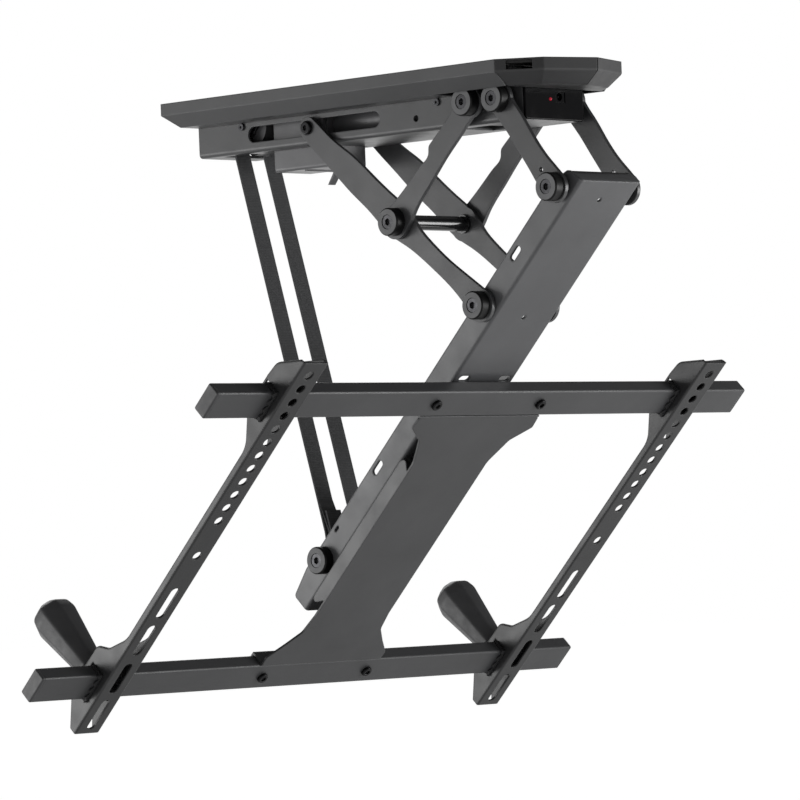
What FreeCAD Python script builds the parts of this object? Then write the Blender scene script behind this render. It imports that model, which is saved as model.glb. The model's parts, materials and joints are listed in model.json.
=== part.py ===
"""Motorised ceiling mount for a television, half folded down. Lengths are in millimetres.

X runs along the two television rails, Y along the base channel and Z is up.
The origin is the middle of the ceiling plate's upper face.
Parts of the carrier are drawn flat first: x across, y up the carrier, z away from the television.
"""
import FreeCAD, Part
import math
import os

V = FreeCAD.Vector
X_AXIS = V(1, 0, 0)

# Linkage, as Y and Z of its pins at rest
pivot_z = -32.0
arm_pivot_y = 158.3
pivot_spacing = 37.1
outer_arm_angle = 45.7
outer_arm_length = 142.5
slide_pin_z = -36.3145
long_arm_upper = 150.7
long_arm_lower = 128.6
carrier_angle = 45.4
carrier_pin_s = 73.7
carrier_pin_b = 35.9
guide_pin_s = 215.9
guide_pin_b = 34.0
strap_pin_s = -241.2
strap_pin_b = 33.5

# Sideways layers of the linkage
inner_link_gap = 2.1
outer_link_gap = 1.2
carrier_gap = 1.3
link_thickness = 4.0
face_gap = 0.3
cap_thickness = 10.5
cap_radius = 13.0
cap_chamfer = 1.2
pin_radius = 5.0
bush_radius = 7.0
running_gap = 0.05
thread_radius = 4.0
spacer_radius = 10.0
bolt_head_radius = 6.5
bolt_head_height = 4.0
socket_across = 6.0
low_head_radius = 6.5
low_head_height = 3.2

# Base
plate_half_width = 77.0
plate_end_inset = 14.0
plate_thickness = 3.0
plate_slot_x = 63.0
plate_slot_y = 150.0
plate_slot_length = 18.0
plate_slot_width = 8.0
lead_slot_y = 60.0
lead_slot_length = 70.0
lead_slot_width = 30.0
cover_half_width = 80.0
cover_end_reach = 4.0
cover_depth = 23.5
cover_side = 11.5
cover_bevel = 13.0
cover_wall = 1.5
pocket_reach = 28.0
nose_shoulder_x = 53.0
nose_shoulder_reach = 35.0
nose_tip_reach = 53.0
nose_wall = 2.0
nose_split = 1.0
nose_rounding = 3.5
base_half_width = 39.5
base_low_z = -52.3
base_sheet = 2.5
base_lip = 12.0
base_start_inset = 9.0
base_end_reach = 19.6
tooling_hole = (80.2, -39.4)
cover_screw_ys = (-150.0, 108.0)
cover_screw_drop = 3.5
cover_screw_radius = 1.5
face_plate = 2.5
slot_start_y = -142.0
slot_end_y = 33.5
slot_height = 15.0
slot_rise = 0.9
slide_play = 1.3
board_half_width = 30.0
board_length = 130.0
board_end_gap = 25.0
board_low_z = -14.0
board_thickness = 1.6

# Drive
gearbox_side_gap = 12.0
gearbox_start_y = -122.0
gearbox_end_y = -50.0
gearbox_low_z = -72.5
gearbox_top_z = -8.0
motor_radius = 17.0
motor_length = 70.0
spool_y = -145.0
spool_z = -27.5
spool_hub_radius = 8.0
spool_flange_radius = 18.0
roll_radius = 17.0
spool_shaft_radius = 5.0
spool_side_gap = 2.1
strap_width = 19.0
strap_thickness = 1.8
guide_y = -166.0
guide_z = -44.5
guide_roller_radius = 6.0
guide_axle_radius = 2.5
bearing_gap = 3.7
bearing_thickness = 2.7

# Carrier
carrier_front_b = 19.4
carrier_back_b = 45.4
carrier_sheet = 2.5
carrier_top_s = 236.0
carrier_low_s = -293.0
rail_length = 710.0
rail_height = 30.0
rail_depth = 15.0
rail_wall = 1.5
rail_corner = 2.0
rail_spacing = 344.3
rail_screw_x = 70.0
tray_sheet = 2.0
tray_half_width = 49.5
tray_flare = 80.0
tray_bolt_x = 24.0
tray_bolt_upper_s = -95.0
tray_bolt_lower_gap = 82.3
carrier_slots = ((134.7, 37.4, 16, 6.5), (-128.2, 38.5, 16, 6.5), (-207.3, 40.4, 7, 3))

# Television brackets
bracket_x = 269.5
bracket_width = 30.0
bracket_front_b = -9.5
bracket_band_b = -2.0
bracket_sheet = 2.0
bracket_top_s = 43.5
bracket_low_s = -410.5
first_hole_s = 28.8
hole_pitch = 15.75
hole_count = 12
hole_radius = 4.75
vesa_height = 200.0
slot_overall = 37.3
slot_steps = (274.4, 320.7, 368.5, 414.4)
liner_thickness = 2.0
liner_width = 6.0
knob_reach = 106.0
knob_narrow = 26.0
knob_wide = 41.0
knob_sides = 8
stud_radius = 4.0


# Positions worked out from the linkage
def from_pin(start, length, angle_deg):
    angle = math.radians(angle_deg)
    return (start[0] + length * math.cos(angle), start[1] + length * math.sin(angle))


ARM_PIVOT = (arm_pivot_y, pivot_z)
GUIDE_PIVOT = (arm_pivot_y + pivot_spacing, pivot_z)
MIDDLE_PIN = from_pin(ARM_PIVOT, outer_arm_length, 180.0 + outer_arm_angle)
long_arm_angle = math.degrees(math.asin((slide_pin_z - MIDDLE_PIN[1]) / long_arm_upper))
SLIDE_PIN = from_pin(MIDDLE_PIN, long_arm_upper, 180.0 - long_arm_angle)
CARRIER_PIN = from_pin(MIDDLE_PIN, long_arm_lower, -long_arm_angle)
slot_z = slide_pin_z + slot_rise
CARRIER_FOOT = from_pin(CARRIER_PIN, -carrier_pin_s, carrier_angle)
RAIL_EDGE = from_pin(CARRIER_FOOT, -carrier_pin_b, carrier_angle + 90.0)


def on_carrier(s, b):
    """Y and Z of a point s up the carrier and b behind the rails' front."""
    return from_pin(from_pin(RAIL_EDGE, s, carrier_angle), b, carrier_angle + 90.0)


GUIDE_PIN = on_carrier(guide_pin_s, guide_pin_b)
STRAP_PIN = on_carrier(strap_pin_s, strap_pin_b)
lower_rail_s = -rail_spacing
rail_middle_s = -rail_height / 2
lower_rail_middle_s = lower_rail_s - rail_height / 2

# Layers from the base's side outwards and inwards
inner_link_x = base_half_width + inner_link_gap
outer_link_x = inner_link_x + link_thickness + outer_link_gap
carrier_half_width = inner_link_x - carrier_gap
base_inner_x = base_half_width - base_sheet
bearing_x = base_inner_x - bearing_gap - bearing_thickness
strap_x = bearing_x - spool_side_gap - strap_width / 2
gearbox_half_width = base_inner_x - gearbox_side_gap

# Lengths of the base, from its guide pivot
base_end_y = GUIDE_PIVOT[0] + base_end_reach
cover_half_length = base_end_y + cover_end_reach
base_start_y = base_start_inset - cover_half_length
plate_half_length = cover_half_length - plate_end_inset
nose_shoulder_y = cover_half_length + nose_shoulder_reach
nose_tip_y = cover_half_length + nose_tip_reach


# General shapes
def tangent_outline(corners, to_point):
    """A closed wire through corners (u, v, radius); a corner with a radius is a tangent arc."""
    count = len(corners)
    stops = []
    for i, (u, v, radius) in enumerate(corners):
        before = V(corners[i - 1][0] - u, corners[i - 1][1] - v, 0).normalize()
        after = V(corners[(i + 1) % count][0] - u, corners[(i + 1) % count][1] - v, 0).normalize()
        corner = V(u, v, 0)
        if radius <= 0:
            stops.append((corner, None, corner))
            continue
        half = before.getAngle(after) / 2
        reach = radius / math.tan(half)
        middle_way = (before + after).normalize()
        centre = corner + middle_way * (radius / math.sin(half))
        stops.append((corner + before * reach, centre - middle_way * radius, corner + after * reach))
    edges = []
    for i, (start, middle, end) in enumerate(stops):
        if middle is not None:
            edges.append(Part.Arc(to_point(start), to_point(middle), to_point(end)).toShape())
        following = stops[(i + 1) % count][0]
        if (following - end).Length > 1e-6:
            edges.append(Part.LineSegment(to_point(end), to_point(following)).toShape())
    return Part.Wire(edges)


def plate_yz(corners, x, thickness):
    """A plate from x to x + thickness with an outline in Y and Z."""
    wire = tangent_outline(corners, lambda p: V(x, p.x, p.y))
    return Part.Face(wire).extrude(V(thickness, 0, 0))


def plate_xy(corners, z, thickness):
    wire = tangent_outline(corners, lambda p: V(p.x, p.y, z))
    return Part.Face(wire).extrude(V(0, 0, thickness))


def bar_xz(corners, y, length):
    wire = tangent_outline(corners, lambda p: V(p.x, y, p.y))
    return Part.Face(wire).extrude(V(0, length, 0))


def box(x0, x1, y0, y1, z0, z1):
    return Part.makeBox(x1 - x0, y1 - y0, z1 - z0, V(x0, y0, z0))


def rod_x(radius, x0, x1, centre):
    """A round bar along X about the point centre (y, z)."""
    low, high = min(x0, x1), max(x0, x1)
    return Part.makeCylinder(radius, high - low, V(low, centre[0], centre[1]), X_AXIS)


def ring_x(outer, inner, x0, x1, centre):
    return rod_x(outer, x0, x1, centre).cut(rod_x(inner, x0, x1, centre))


def slot_cutter_xy(x, y, length, width, z0, z1, along_x):
    """A round-ended slot through z0 to z1, centred at x, y."""
    half = (length - width) / 2
    dx, dy = (half, 0) if along_x else (0, half)
    ends = [Part.makeCylinder(width / 2, z1 - z0, V(x + k * dx, y + k * dy, z0)) for k in (-1, 1)]
    side = width / 2
    if along_x:
        middle = box(x - half, x + half, y - side, y + side, z0, z1)
    else:
        middle = box(x - side, x + side, y - half, y + half, z0, z1)
    return ends[0].fuse([ends[1], middle])


def slot_cutter_yz(y0, y1, z, height, x0, x1):
    radius = height / 2
    middle = box(x0, x1, y0 + radius, y1 - radius, z - radius, z + radius)
    ends = [rod_x(radius, x0, x1, (y, z)) for y in (y0 + radius, y1 - radius)]
    return middle.fuse(ends)


def hexagon_x(across, x0, x1, centre):
    radius = across / math.sqrt(3)
    corners = [from_pin(centre, radius, 60 * i + 30) + (0,) for i in range(6)]
    return plate_yz(corners, x0, x1 - x0)


def hexagon_z(across, x, y, z, height):
    corners = [from_pin((x, y), across / math.sqrt(3), 60 * i) + (0,) for i in range(6)]
    return plate_xy(corners, z, height)


def mirrored(shape):
    return shape.mirror(V(0, 0, 0), X_AXIS)


def both_sides(shape):
    return [shape, mirrored(shape)]


def carried(shape):
    """Moves a shape drawn in the carrier's flat frame to its place on the tilted carrier."""
    placed = shape.copy()
    placed.rotate(V(0, 0, 0), X_AXIS, carrier_angle)
    placed.translate(V(0, RAIL_EDGE[0], RAIL_EDGE[1]))
    return placed


def group(shapes):
    return Part.makeCompound(shapes)


def inset(points, distances):
    """A polygon's corners with each side moved inwards; side i runs from point i to point i + 1."""
    area = sum(a[0] * b[1] - b[0] * a[1] for a, b in zip(points, points[1:] + points[:1]))
    turn = 1 if area > 0 else -1
    lines = []
    for i, (a, b) in enumerate(zip(points, points[1:] + points[:1])):
        dx, dy = b[0] - a[0], b[1] - a[1]
        length = math.hypot(dx, dy)
        nx, ny = -dy / length * turn, dx / length * turn
        lines.append((nx, ny, nx * a[0] + ny * a[1] + distances[i]))
    corners = []
    for i in range(len(points)):
        (a1, b1, c1), (a2, b2, c2) = lines[i - 1], lines[i]
        det = a1 * b2 - a2 * b1
        corners.append(((c1 * b2 - c2 * b1) / det, (a1 * c2 - a2 * c1) / det))
    return corners


# Ceiling plate, cover and nose
def ceiling_plate():
    w, h = plate_half_width, plate_half_length
    plate = plate_xy([(-w, -h, 8), (w, -h, 8), (w, h, 8), (-w, h, 8)], -plate_thickness, plate_thickness)
    cutters = []
    for sx in (-1, 1):
        for sy in (-1, 1):
            cutters.append(slot_cutter_xy(
                sx * plate_slot_x, sy * plate_slot_y, plate_slot_length, plate_slot_width,
                -plate_thickness - 1, 1, True))
    cutters.append(slot_cutter_xy(0, lead_slot_y, lead_slot_length, lead_slot_width,
                                  -plate_thickness - 1, 1, False))
    return plate.cut(cutters)


def tray(half_width, start_y, end_y, depth, side, bevel, start_bevel):
    """A shallow tray, open on top, with bevelled lower edges on both sides and at its start."""
    low = half_width - bevel
    section = [(-half_width, 0, 0), (-half_width, -side, 0), (-low, -depth, 0),
               (low, -depth, 0), (half_width, -side, 0), (half_width, 0, 0)]
    length_section = [(start_y, 0, 0), (start_y, -side, 0), (start_y + start_bevel, -depth, 0),
                      (end_y, -depth, 0), (end_y, 0, 0)]
    across = bar_xz(section, start_y, end_y - start_y)
    return across.common(plate_yz(length_section, -half_width, 2 * half_width))


def bevel_wall(wall):
    """How far the bevel's lower corner moves inwards for a wall of even thickness."""
    slope = math.atan2(cover_depth - cover_side, cover_bevel)
    return wall * (1 - math.cos(slope)) / math.sin(slope)


def cover():
    outer = tray(cover_half_width, -cover_half_length, cover_half_length,
                 cover_depth, cover_side, cover_bevel, cover_bevel)
    shift = bevel_wall(cover_wall)
    inner = tray(cover_half_width - cover_wall, -cover_half_length + cover_wall, cover_half_length + 1,
                 cover_depth - cover_wall, cover_side - shift, cover_bevel - cover_wall + shift,
                 cover_bevel - cover_wall + shift)
    width = base_half_width + 0.5
    opening = box(-width, width, base_start_y - 0.5, cover_half_length + 1, -cover_depth - 1, 0)
    pocket_x = cover_half_width - cover_bevel - 0.6
    pocket = box(-pocket_x, pocket_x, arm_pivot_y - pocket_reach, cover_half_length + 1, -cover_depth - 1, 0)
    return outer.cut([inner, opening, pocket])


def nose_outline():
    w, start = cover_half_width, cover_half_length
    return [(-w, start), (w, start), (nose_shoulder_x, nose_shoulder_y), (0.0, nose_tip_y),
            (-nose_shoulder_x, nose_shoulder_y)]


def loft_between(low_points, low_z, high_points, high_z):
    wires = []
    for points, z in ((low_points, low_z), (high_points, high_z)):
        wires.append(Part.makePolygon([V(x, y, z) for x, y in points + points[:1]]))
    return Part.makeLoft(wires, True, True)


def nose_solid(wall):
    """The nose's outer form, or with a wall its hollow."""
    start = -1.0 if wall else 0.0
    rim = inset(nose_outline(), [start] + [wall] * 4)
    low = inset(nose_outline(), [start] + [cover_bevel + 0.2 * wall] * 4)
    side_z = -cover_side + bevel_wall(wall)
    low_z = -cover_depth + wall
    top_z = 1.0 if wall else 0.0
    rim_face = Part.Face(Part.makePolygon([V(x, y, side_z) for x, y in rim + rim[:1]]))
    upper = rim_face.extrude(V(0, 0, top_z - side_z))
    whole = upper.fuse(loft_between(low, low_z, rim, side_z)).removeSplitter()
    if wall:
        return whole
    rounded = [edge for edge in whole.Edges
               if edge.BoundBox.YMax > cover_half_length + 1 and edge.BoundBox.ZMin < -1]
    return whole.makeFillet(nose_rounding, rounded)


def cable_notch():
    """A window through the nose's slanted side, below its upper lip."""
    notch = box(-12, 12, -10, 10, -9.8, -1.6)
    slant = math.atan2(nose_shoulder_y - cover_half_length, nose_shoulder_x - cover_half_width)
    notch.rotate(V(0, 0, 0), V(0, 0, 1), math.degrees(slant))
    middle = V((cover_half_width + nose_shoulder_x) / 2, (cover_half_length + nose_shoulder_y) / 2, 0)
    notch.translate(middle)
    return notch


def end_cover(side):
    shell = nose_solid(0.0).cut(nose_solid(nose_wall))
    low, high = sorted((side * nose_split / 2, side * (cover_half_width + 1)))
    shell = shell.common(box(low, high, cover_half_length, nose_tip_y + 1, -cover_depth - 1, 1))
    return shell.cut(cable_notch()) if side > 0 else shell


def cover_screws():
    """Button screws that hold the cover's lower face to the base channel's sides."""
    screws = []
    for y in cover_screw_ys:
        centre = (y, -cover_depth - cover_screw_drop)
        head = rod_x(cover_screw_drop, base_half_width, base_half_width + 2.0, centre)
        shank = rod_x(cover_screw_radius, base_half_width - base_sheet - 1.5, base_half_width, centre)
        socket = hexagon_x(2.5, base_half_width + 0.8, base_half_width + 2.1, centre)
        screws += both_sides(head.fuse(shank).cut(socket))
    return group(screws)


# Base channel and what is in it
def base_channel():
    w, t, lip = base_half_width, base_sheet, base_lip
    top = -plate_thickness
    section = [(-w - lip, top, 0), (-w - lip, top - t, 0), (-w, top - t, 0), (-w, base_low_z, 4),
               (w, base_low_z, 4), (w, top - t, 0), (w + lip, top - t, 0), (w + lip, top, 0),
               (w - t, top, 0), (w - t, base_low_z + t, 1.5), (-w + t, base_low_z + t, 1.5), (-w + t, top, 0)]
    channel = bar_xz(section, base_start_y, base_end_y - base_start_y)
    through = w + 1
    cutters = [slot_cutter_yz(slot_start_y, slot_end_y, slot_z, slot_height, -through, through)]
    for pin in (ARM_PIVOT, GUIDE_PIVOT):
        cutters.append(rod_x(thread_radius + running_gap, -through, through, pin))
    cutters.append(rod_x(3.0, -through, through, tooling_hole))
    for y in cover_screw_ys:
        centre = (y, -cover_depth - cover_screw_drop)
        cutters.append(rod_x(cover_screw_radius + running_gap, -through, through, centre))
    below, above = base_low_z - 1, base_low_z + t + 1
    strap_reach = strap_x + strap_width / 2 + 2.5
    cutters.append(box(-strap_reach, strap_reach, guide_y - 20, guide_y + 18, below, above))
    side = gearbox_half_width + 2
    cutters.append(box(-side, side, gearbox_start_y - 3, gearbox_end_y + 3, below, above))
    cutters.append(box(-22, 22, base_end_y - 95, base_end_y - 57, below, above))
    return channel.cut(cutters)


lamp_x = 5.6
lamp_z = -33.0
lamp_radius = 1.6
socket_x = -8.5
socket_z = -31.1


def control_face():
    """Glossy plate over the channel's end, with a plug behind it, a lamp hole and a socket window."""
    w, y = base_half_width, base_end_y
    plate = bar_xz([(-w, base_low_z, 4), (w, base_low_z, 4), (w, -plate_thickness - 1, 0),
                    (-w, -plate_thickness - 1, 0)], y, face_plate)
    rim = [edge for edge in plate.Edges if edge.BoundBox.YMin > y + face_plate - 0.01]
    plate = plate.makeFillet(1.2, rim)
    side = w - base_sheet - 0.1
    low = base_low_z + base_sheet + 0.1
    plug = bar_xz([(-side, low, 2), (side, low, 2), (side, -plate_thickness - 3, 0),
                   (-side, -plate_thickness - 3, 0)], y - 5, 5)
    hollow = box(-side + 2, side - 2, y - 6, y, low + 2, -plate_thickness - 5)
    lamp = Part.makeCylinder(lamp_radius + 0.1, 20, V(lamp_x, y - 10, lamp_z), V(0, 1, 0))
    window = box(socket_x - 6.2, socket_x + 6.2, y - 1, y + face_plate + 1, socket_z - 5, socket_z + 5)
    return plate.fuse(plug.cut(hollow)).cut([lamp, window]).removeSplitter()


def status_lamp():
    y = base_end_y
    body = Part.makeCylinder(lamp_radius, face_plate + 3, V(lamp_x, y - 3, lamp_z), V(0, 1, 0))
    dome = Part.makeSphere(lamp_radius, V(lamp_x, y + face_plate, lamp_z))
    collar = Part.makeCylinder(2.6, 1.5, V(lamp_x, y - 1.5, lamp_z), V(0, 1, 0))
    return body.fuse([dome, collar]).removeSplitter()


def power_socket():
    """A rectangular socket body behind the face, with a round well and its middle pin."""
    y, x, z = base_end_y, socket_x, socket_z
    body = box(x - 6.1, x + 6.1, y - 12, y + face_plate - 0.6, z - 4.9, z + 4.9)
    flange = box(x - 7.5, x + 7.5, y - 12, y, z - 6.5, z + 6.5)
    well = Part.makeCylinder(3.6, 9, V(x + 1.0, y - 7, z + 0.6), V(0, 1, 0))
    contact = Part.makeCylinder(1.0, 8.5, V(x + 1.0, y - 8, z + 0.6), V(0, 1, 0))
    return body.fuse(flange).cut(well).fuse(contact).removeSplitter()


def control_board():
    """The board with its relay, capacitor, chip and terminal, hung on four posts."""
    w, z = board_half_width, board_low_z
    end = base_end_y - board_end_gap
    start = end - board_length
    top = z + board_thickness
    board = box(-w, w, start, end, z, top)
    relay = box(-w + 6, -w + 24, start + 10, start + 28, z - 14, z)
    capacitor = Part.makeCylinder(6, 14, V(14, start + 24, z - 14), V(0, 0, 1))
    chip = box(-8, 8, start + 60, start + 76, z - 2.5, z)
    terminal = box(-20, 20, end - 14, end - 4, z - 10, z)
    posts = [Part.makeCylinder(3, -plate_thickness - top, V(x, y, top))
             for x in (4 - w, w - 4) for y in (start + 6, end - 6)]
    return board.fuse([relay, capacitor, chip, terminal] + posts)


def gearbox():
    w = gearbox_half_width
    low, top = gearbox_low_z, gearbox_top_z
    block = bar_xz([(-w, low, 3), (w, low, 3), (w, top, 3), (-w, top, 3)],
                   gearbox_start_y, gearbox_end_y - gearbox_start_y)
    between = strap_x - strap_width / 2 - 2.0
    nose = rod_x(13, -between, between, (spool_y, spool_z))
    neck = box(-between, between, spool_y, gearbox_start_y + 1, spool_z - 10, spool_z + 10)
    bore = rod_x(spool_shaft_radius + running_gap, -between - 1, between + 1, (spool_y, spool_z))
    feet = [box(x - 5, x + 5, y, y + 12, gearbox_top_z, -plate_thickness)
            for x in (8 - w, w - 8) for y in (gearbox_start_y + 6, gearbox_end_y - 18)]
    rib = box(-w + 6, w - 6, gearbox_start_y + 34, gearbox_start_y + 38, low - 1.2, low)
    return block.fuse([nose, neck, rib, lead_clip()] + feet).cut(bore).removeSplitter()


def motor():
    y = gearbox_end_y
    centre_z = -31.0
    can = Part.makeCylinder(motor_radius, motor_length, V(0, y, centre_z), V(0, 1, 0))
    cap = Part.makeCylinder(motor_radius - 2, 4, V(0, y + motor_length, centre_z), V(0, 1, 0))
    tail = Part.makeCylinder(3, 6, V(0, y + motor_length, centre_z), V(0, 1, 0))
    return can.fuse([cap, tail]).removeSplitter()


def lead_clip():
    """Bent strip that holds the drive's leads at the gearbox's end."""
    y = gearbox_end_y
    plate = [(y, gearbox_low_z + 12, 0), (y + 2, gearbox_low_z + 12, 0), (y + 2, gearbox_low_z + 1, 0),
             (y + 10, gearbox_low_z - 1, 0), (y - 3, gearbox_low_z - 17, 0), (y - 5, gearbox_low_z - 17, 0),
             (y + 5, gearbox_low_z - 2.5, 0), (y, gearbox_low_z - 1, 0)]
    return plate_yz(plate, 14, 8)


def limit_switches():
    """Two small switches inside the channel, beside the ends of the slide's travel."""
    switches = []
    for y in (slot_start_y + 20, slot_end_y - 2):
        body = box(base_inner_x - 10, base_inner_x, y, y + 20, -16, -8)
        lever = box(base_inner_x - 8, base_inner_x - 6, y + 2, y + 18, -17.2, -16)
        switches.append(body.fuse(lever))
    return group(switches)


def spool_bearings():
    """Hanging plates inside the channel that carry the spool shaft and the strap's guide axle."""
    top = -plate_thickness
    outline = [(guide_y - 4, top, 0), (guide_y - 5, guide_z, 0), (guide_y, guide_z - 4.5, 4),
               (spool_y + 2, spool_z - 9, 6), (spool_y + 9, spool_z, 6), (spool_y + 9, top, 0)]
    plate = plate_yz(outline, bearing_x, bearing_thickness)
    foot = box(bearing_x - 6, bearing_x + 1, guide_y - 4, spool_y + 9, top - 2, top)
    far = bearing_x + bearing_thickness
    holes = [rod_x(spool_shaft_radius + running_gap, bearing_x - 1, far + 1, (spool_y, spool_z)),
             rod_x(guide_axle_radius, bearing_x - 1, far + 1, (guide_y, guide_z))]
    axle = rod_x(guide_axle_radius, -far, far, (guide_y, guide_z))
    return group(both_sides(plate.fuse(foot).cut(holes).removeSplitter()) + [axle])


def guide_rollers():
    """Plain rollers with rims that turn the straps downwards."""
    x0, x1 = strap_x - strap_width / 2 - 0.5, strap_x + strap_width / 2 + 0.5
    centre = (guide_y, guide_z)
    roller = rod_x(guide_roller_radius, x0, x1, centre)
    rims = [rod_x(guide_roller_radius + 1.9, x, x + 1, centre) for x in (x0 - 1, x1)]
    bore = rod_x(guide_axle_radius + running_gap, x0 - 1, x1 + 1, centre)
    return group(both_sides(roller.fuse(rims).cut(bore).removeSplitter()))


def spool_shaft():
    reach = bearing_x + bearing_thickness
    return rod_x(spool_shaft_radius, -reach, reach, (spool_y, spool_z))


def spool(side):
    """A spool with its roll of strap."""
    centre = (spool_y, spool_z)
    inner, outer = strap_x - strap_width / 2 - 0.3, strap_x + strap_width / 2 + 0.3
    hub = rod_x(spool_hub_radius, inner, outer, centre)
    flanges = [rod_x(spool_flange_radius, x, x + 1.2, centre) for x in (inner - 1.2, outer)]
    roll = rod_x(roll_radius, strap_x - strap_width / 2, strap_x + strap_width / 2, centre)
    bore = rod_x(spool_shaft_radius, inner - 2, outer + 2, centre)
    whole = hub.fuse(flanges + [roll]).cut(bore).removeSplitter()
    return whole if side > 0 else mirrored(whole)


# Straps
def circle_tangent(start, centre, radius, side):
    """The point where a line from start touches a circle, on one side of the line to its centre."""
    dy, dz = centre[0] - start[0], centre[1] - start[1]
    distance = math.hypot(dy, dz)
    heading = math.degrees(math.atan2(dz, dy)) + side * math.degrees(math.asin(radius / distance))
    return from_pin(start, math.sqrt(distance ** 2 - radius ** 2), heading)


STRAP_TOP = circle_tangent(STRAP_PIN, (guide_y, guide_z), guide_roller_radius + strap_thickness / 2, 1)
strap_heading = math.degrees(math.atan2(STRAP_TOP[1] - STRAP_PIN[1], STRAP_TOP[0] - STRAP_PIN[0]))
strap_length = math.hypot(STRAP_TOP[0] - STRAP_PIN[0], STRAP_TOP[1] - STRAP_PIN[1])
strap_tail_length = 26.0


def strap_band(start, length, heading):
    """A flat band of the strap's thickness from start along a heading."""
    half = strap_thickness / 2
    low, high = from_pin(start, half, heading - 90), from_pin(start, half, heading + 90)
    far_low, far_high = from_pin(low, length, heading), from_pin(high, length, heading)
    corners = [low + (0,), far_low + (0,), far_high + (0,), high + (0,)]
    return plate_yz(corners, strap_x - strap_width / 2, strap_width)


def strap_run(side):
    """The strap's free run with the sewn loop round its sleeve."""
    x0, x1 = strap_x - strap_width / 2, strap_x + strap_width / 2
    loop = ring_x(sleeve_radius + 0.2 + strap_thickness, sleeve_radius + 0.2, x0, x1, STRAP_PIN)
    seam_length = 45.0
    band = strap_band(STRAP_PIN, strap_length - strap_tail_length, strap_heading)
    ply_start = from_pin(STRAP_PIN, strap_thickness, strap_heading - 90)
    ply = strap_band(ply_start, seam_length, strap_heading)
    clear = rod_x(sleeve_radius + 0.2, x0 - 1, x1 + 1, STRAP_PIN)
    whole = loop.fuse([band, ply]).cut(clear).removeSplitter()
    return whole if side > 0 else mirrored(whole)


def strap_tail(side):
    """The last stretch of the strap below its guide roller."""
    start = from_pin(STRAP_PIN, strap_length - strap_tail_length, strap_heading)
    whole = strap_band(start, strap_tail_length, strap_heading)
    return whole if side > 0 else mirrored(whole)


def strap_feeds():
    """The stretches of strap between the guide rollers and the spools."""
    small, large = guide_roller_radius + strap_thickness / 2, roll_radius + strap_thickness / 2
    dy, dz = spool_y - guide_y, spool_z - guide_z
    distance = math.hypot(dy, dz)
    lean = math.degrees(math.asin((large - small) / distance))
    heading = math.degrees(math.atan2(dz, dy)) + lean
    start = from_pin((guide_y, guide_z), small + 0.1, heading + 90)
    length = math.sqrt(distance ** 2 - (large - small) ** 2)
    band = strap_band(start, length, heading)
    return group(both_sides(band.fuse(strap_bend(heading + 90)).removeSplitter()))


def strap_bend(end_angle):
    """The strap's quarter turn over its guide roller."""
    start_angle = math.degrees(math.atan2(STRAP_TOP[1] - guide_z, STRAP_TOP[0] - guide_y))
    x0 = strap_x - strap_width / 2
    inner, outer = guide_roller_radius + 0.1, guide_roller_radius + 0.1 + strap_thickness
    sweep = (start_angle - end_angle) % 360
    arc = Part.makeCylinder(outer, strap_width, V(0, 0, 0), V(0, 0, 1), sweep)
    arc = arc.cut(Part.makeCylinder(inner, strap_width, V(0, 0, 0), V(0, 0, 1)))
    arc.rotate(V(0, 0, 0), V(0, 0, 1), end_angle)
    arc.rotate(V(0, 0, 0), V(1, 1, 1), 120)
    arc.translate(V(x0, guide_y, guide_z))
    return arc


# Links
def side_curve(start, heading, points):
    """A smooth curve through points (along, across) measured from a pin along a heading."""
    places = [from_pin(from_pin(start, along, heading), across, heading + 90) for along, across in points]
    curve = Part.BSplineCurve()
    curve.interpolate([V(0, y, z) for y, z in places])
    return curve.toShape()


def link_blank(x, start, heading, low_side, high_side, eyes):
    """A flat link between two smooth sides, with round eyes (along, radius) fused on."""
    low = side_curve(start, heading, low_side)
    high = side_curve(start, heading, high_side)
    ends = [Part.LineSegment(low.Vertexes[i].Point, high.Vertexes[i].Point).toShape() for i in (0, -1)]
    wire = Part.Wire(Part.__sortEdges__([low, ends[1], high, ends[0]]))
    blank = Part.Face(wire).extrude(V(link_thickness, 0, 0))
    blank.translate(V(x, 0, 0))
    discs = [rod_x(radius, x, x + link_thickness, from_pin(start, along, heading)) for along, radius in eyes]
    return blank.fuse(discs).removeSplitter()


def bored(blank, x, pins, radius):
    return blank.cut([rod_x(radius, x - 1, x + link_thickness + 1, pin) for pin in pins])


def link_a(side):
    """The long inner arm from the slide through the middle pin to the carrier."""
    middle = long_arm_upper
    reach = long_arm_upper + long_arm_lower
    low_side = [(0, -10.3), (20, -12.0), (50, -13.0), (85, -14.7), (112, -14.5), (middle, -15.8),
                (middle + 23, -11.7), (middle + 41, -9.7), (middle + 64, -8.6), (middle + 88, -8.4),
                (middle + 106, -9.9), (reach, -14.8)]
    high_side = [(0, 10.3), (13, 10.3), (27, 10.0), (43, 10.9), (61, 13.0), (97, 13.7), (133, 14.9),
                 (middle, 15.5), (middle + 14, 13.0), (middle + 26, 10.1), (middle + 40, 8.9),
                 (middle + 74, 9.2), (middle + 92, 10.9), (middle + 110, 12.8), (reach, 14.8)]
    blank = link_blank(inner_link_x, SLIDE_PIN, -long_arm_angle, low_side, high_side,
                       [(0, 10.5), (middle, 16.5), (reach, 15.5)])
    whole = bored(blank, inner_link_x, (SLIDE_PIN, MIDDLE_PIN, CARRIER_PIN), bush_radius)
    return whole if side > 0 else mirrored(whole)


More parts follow.
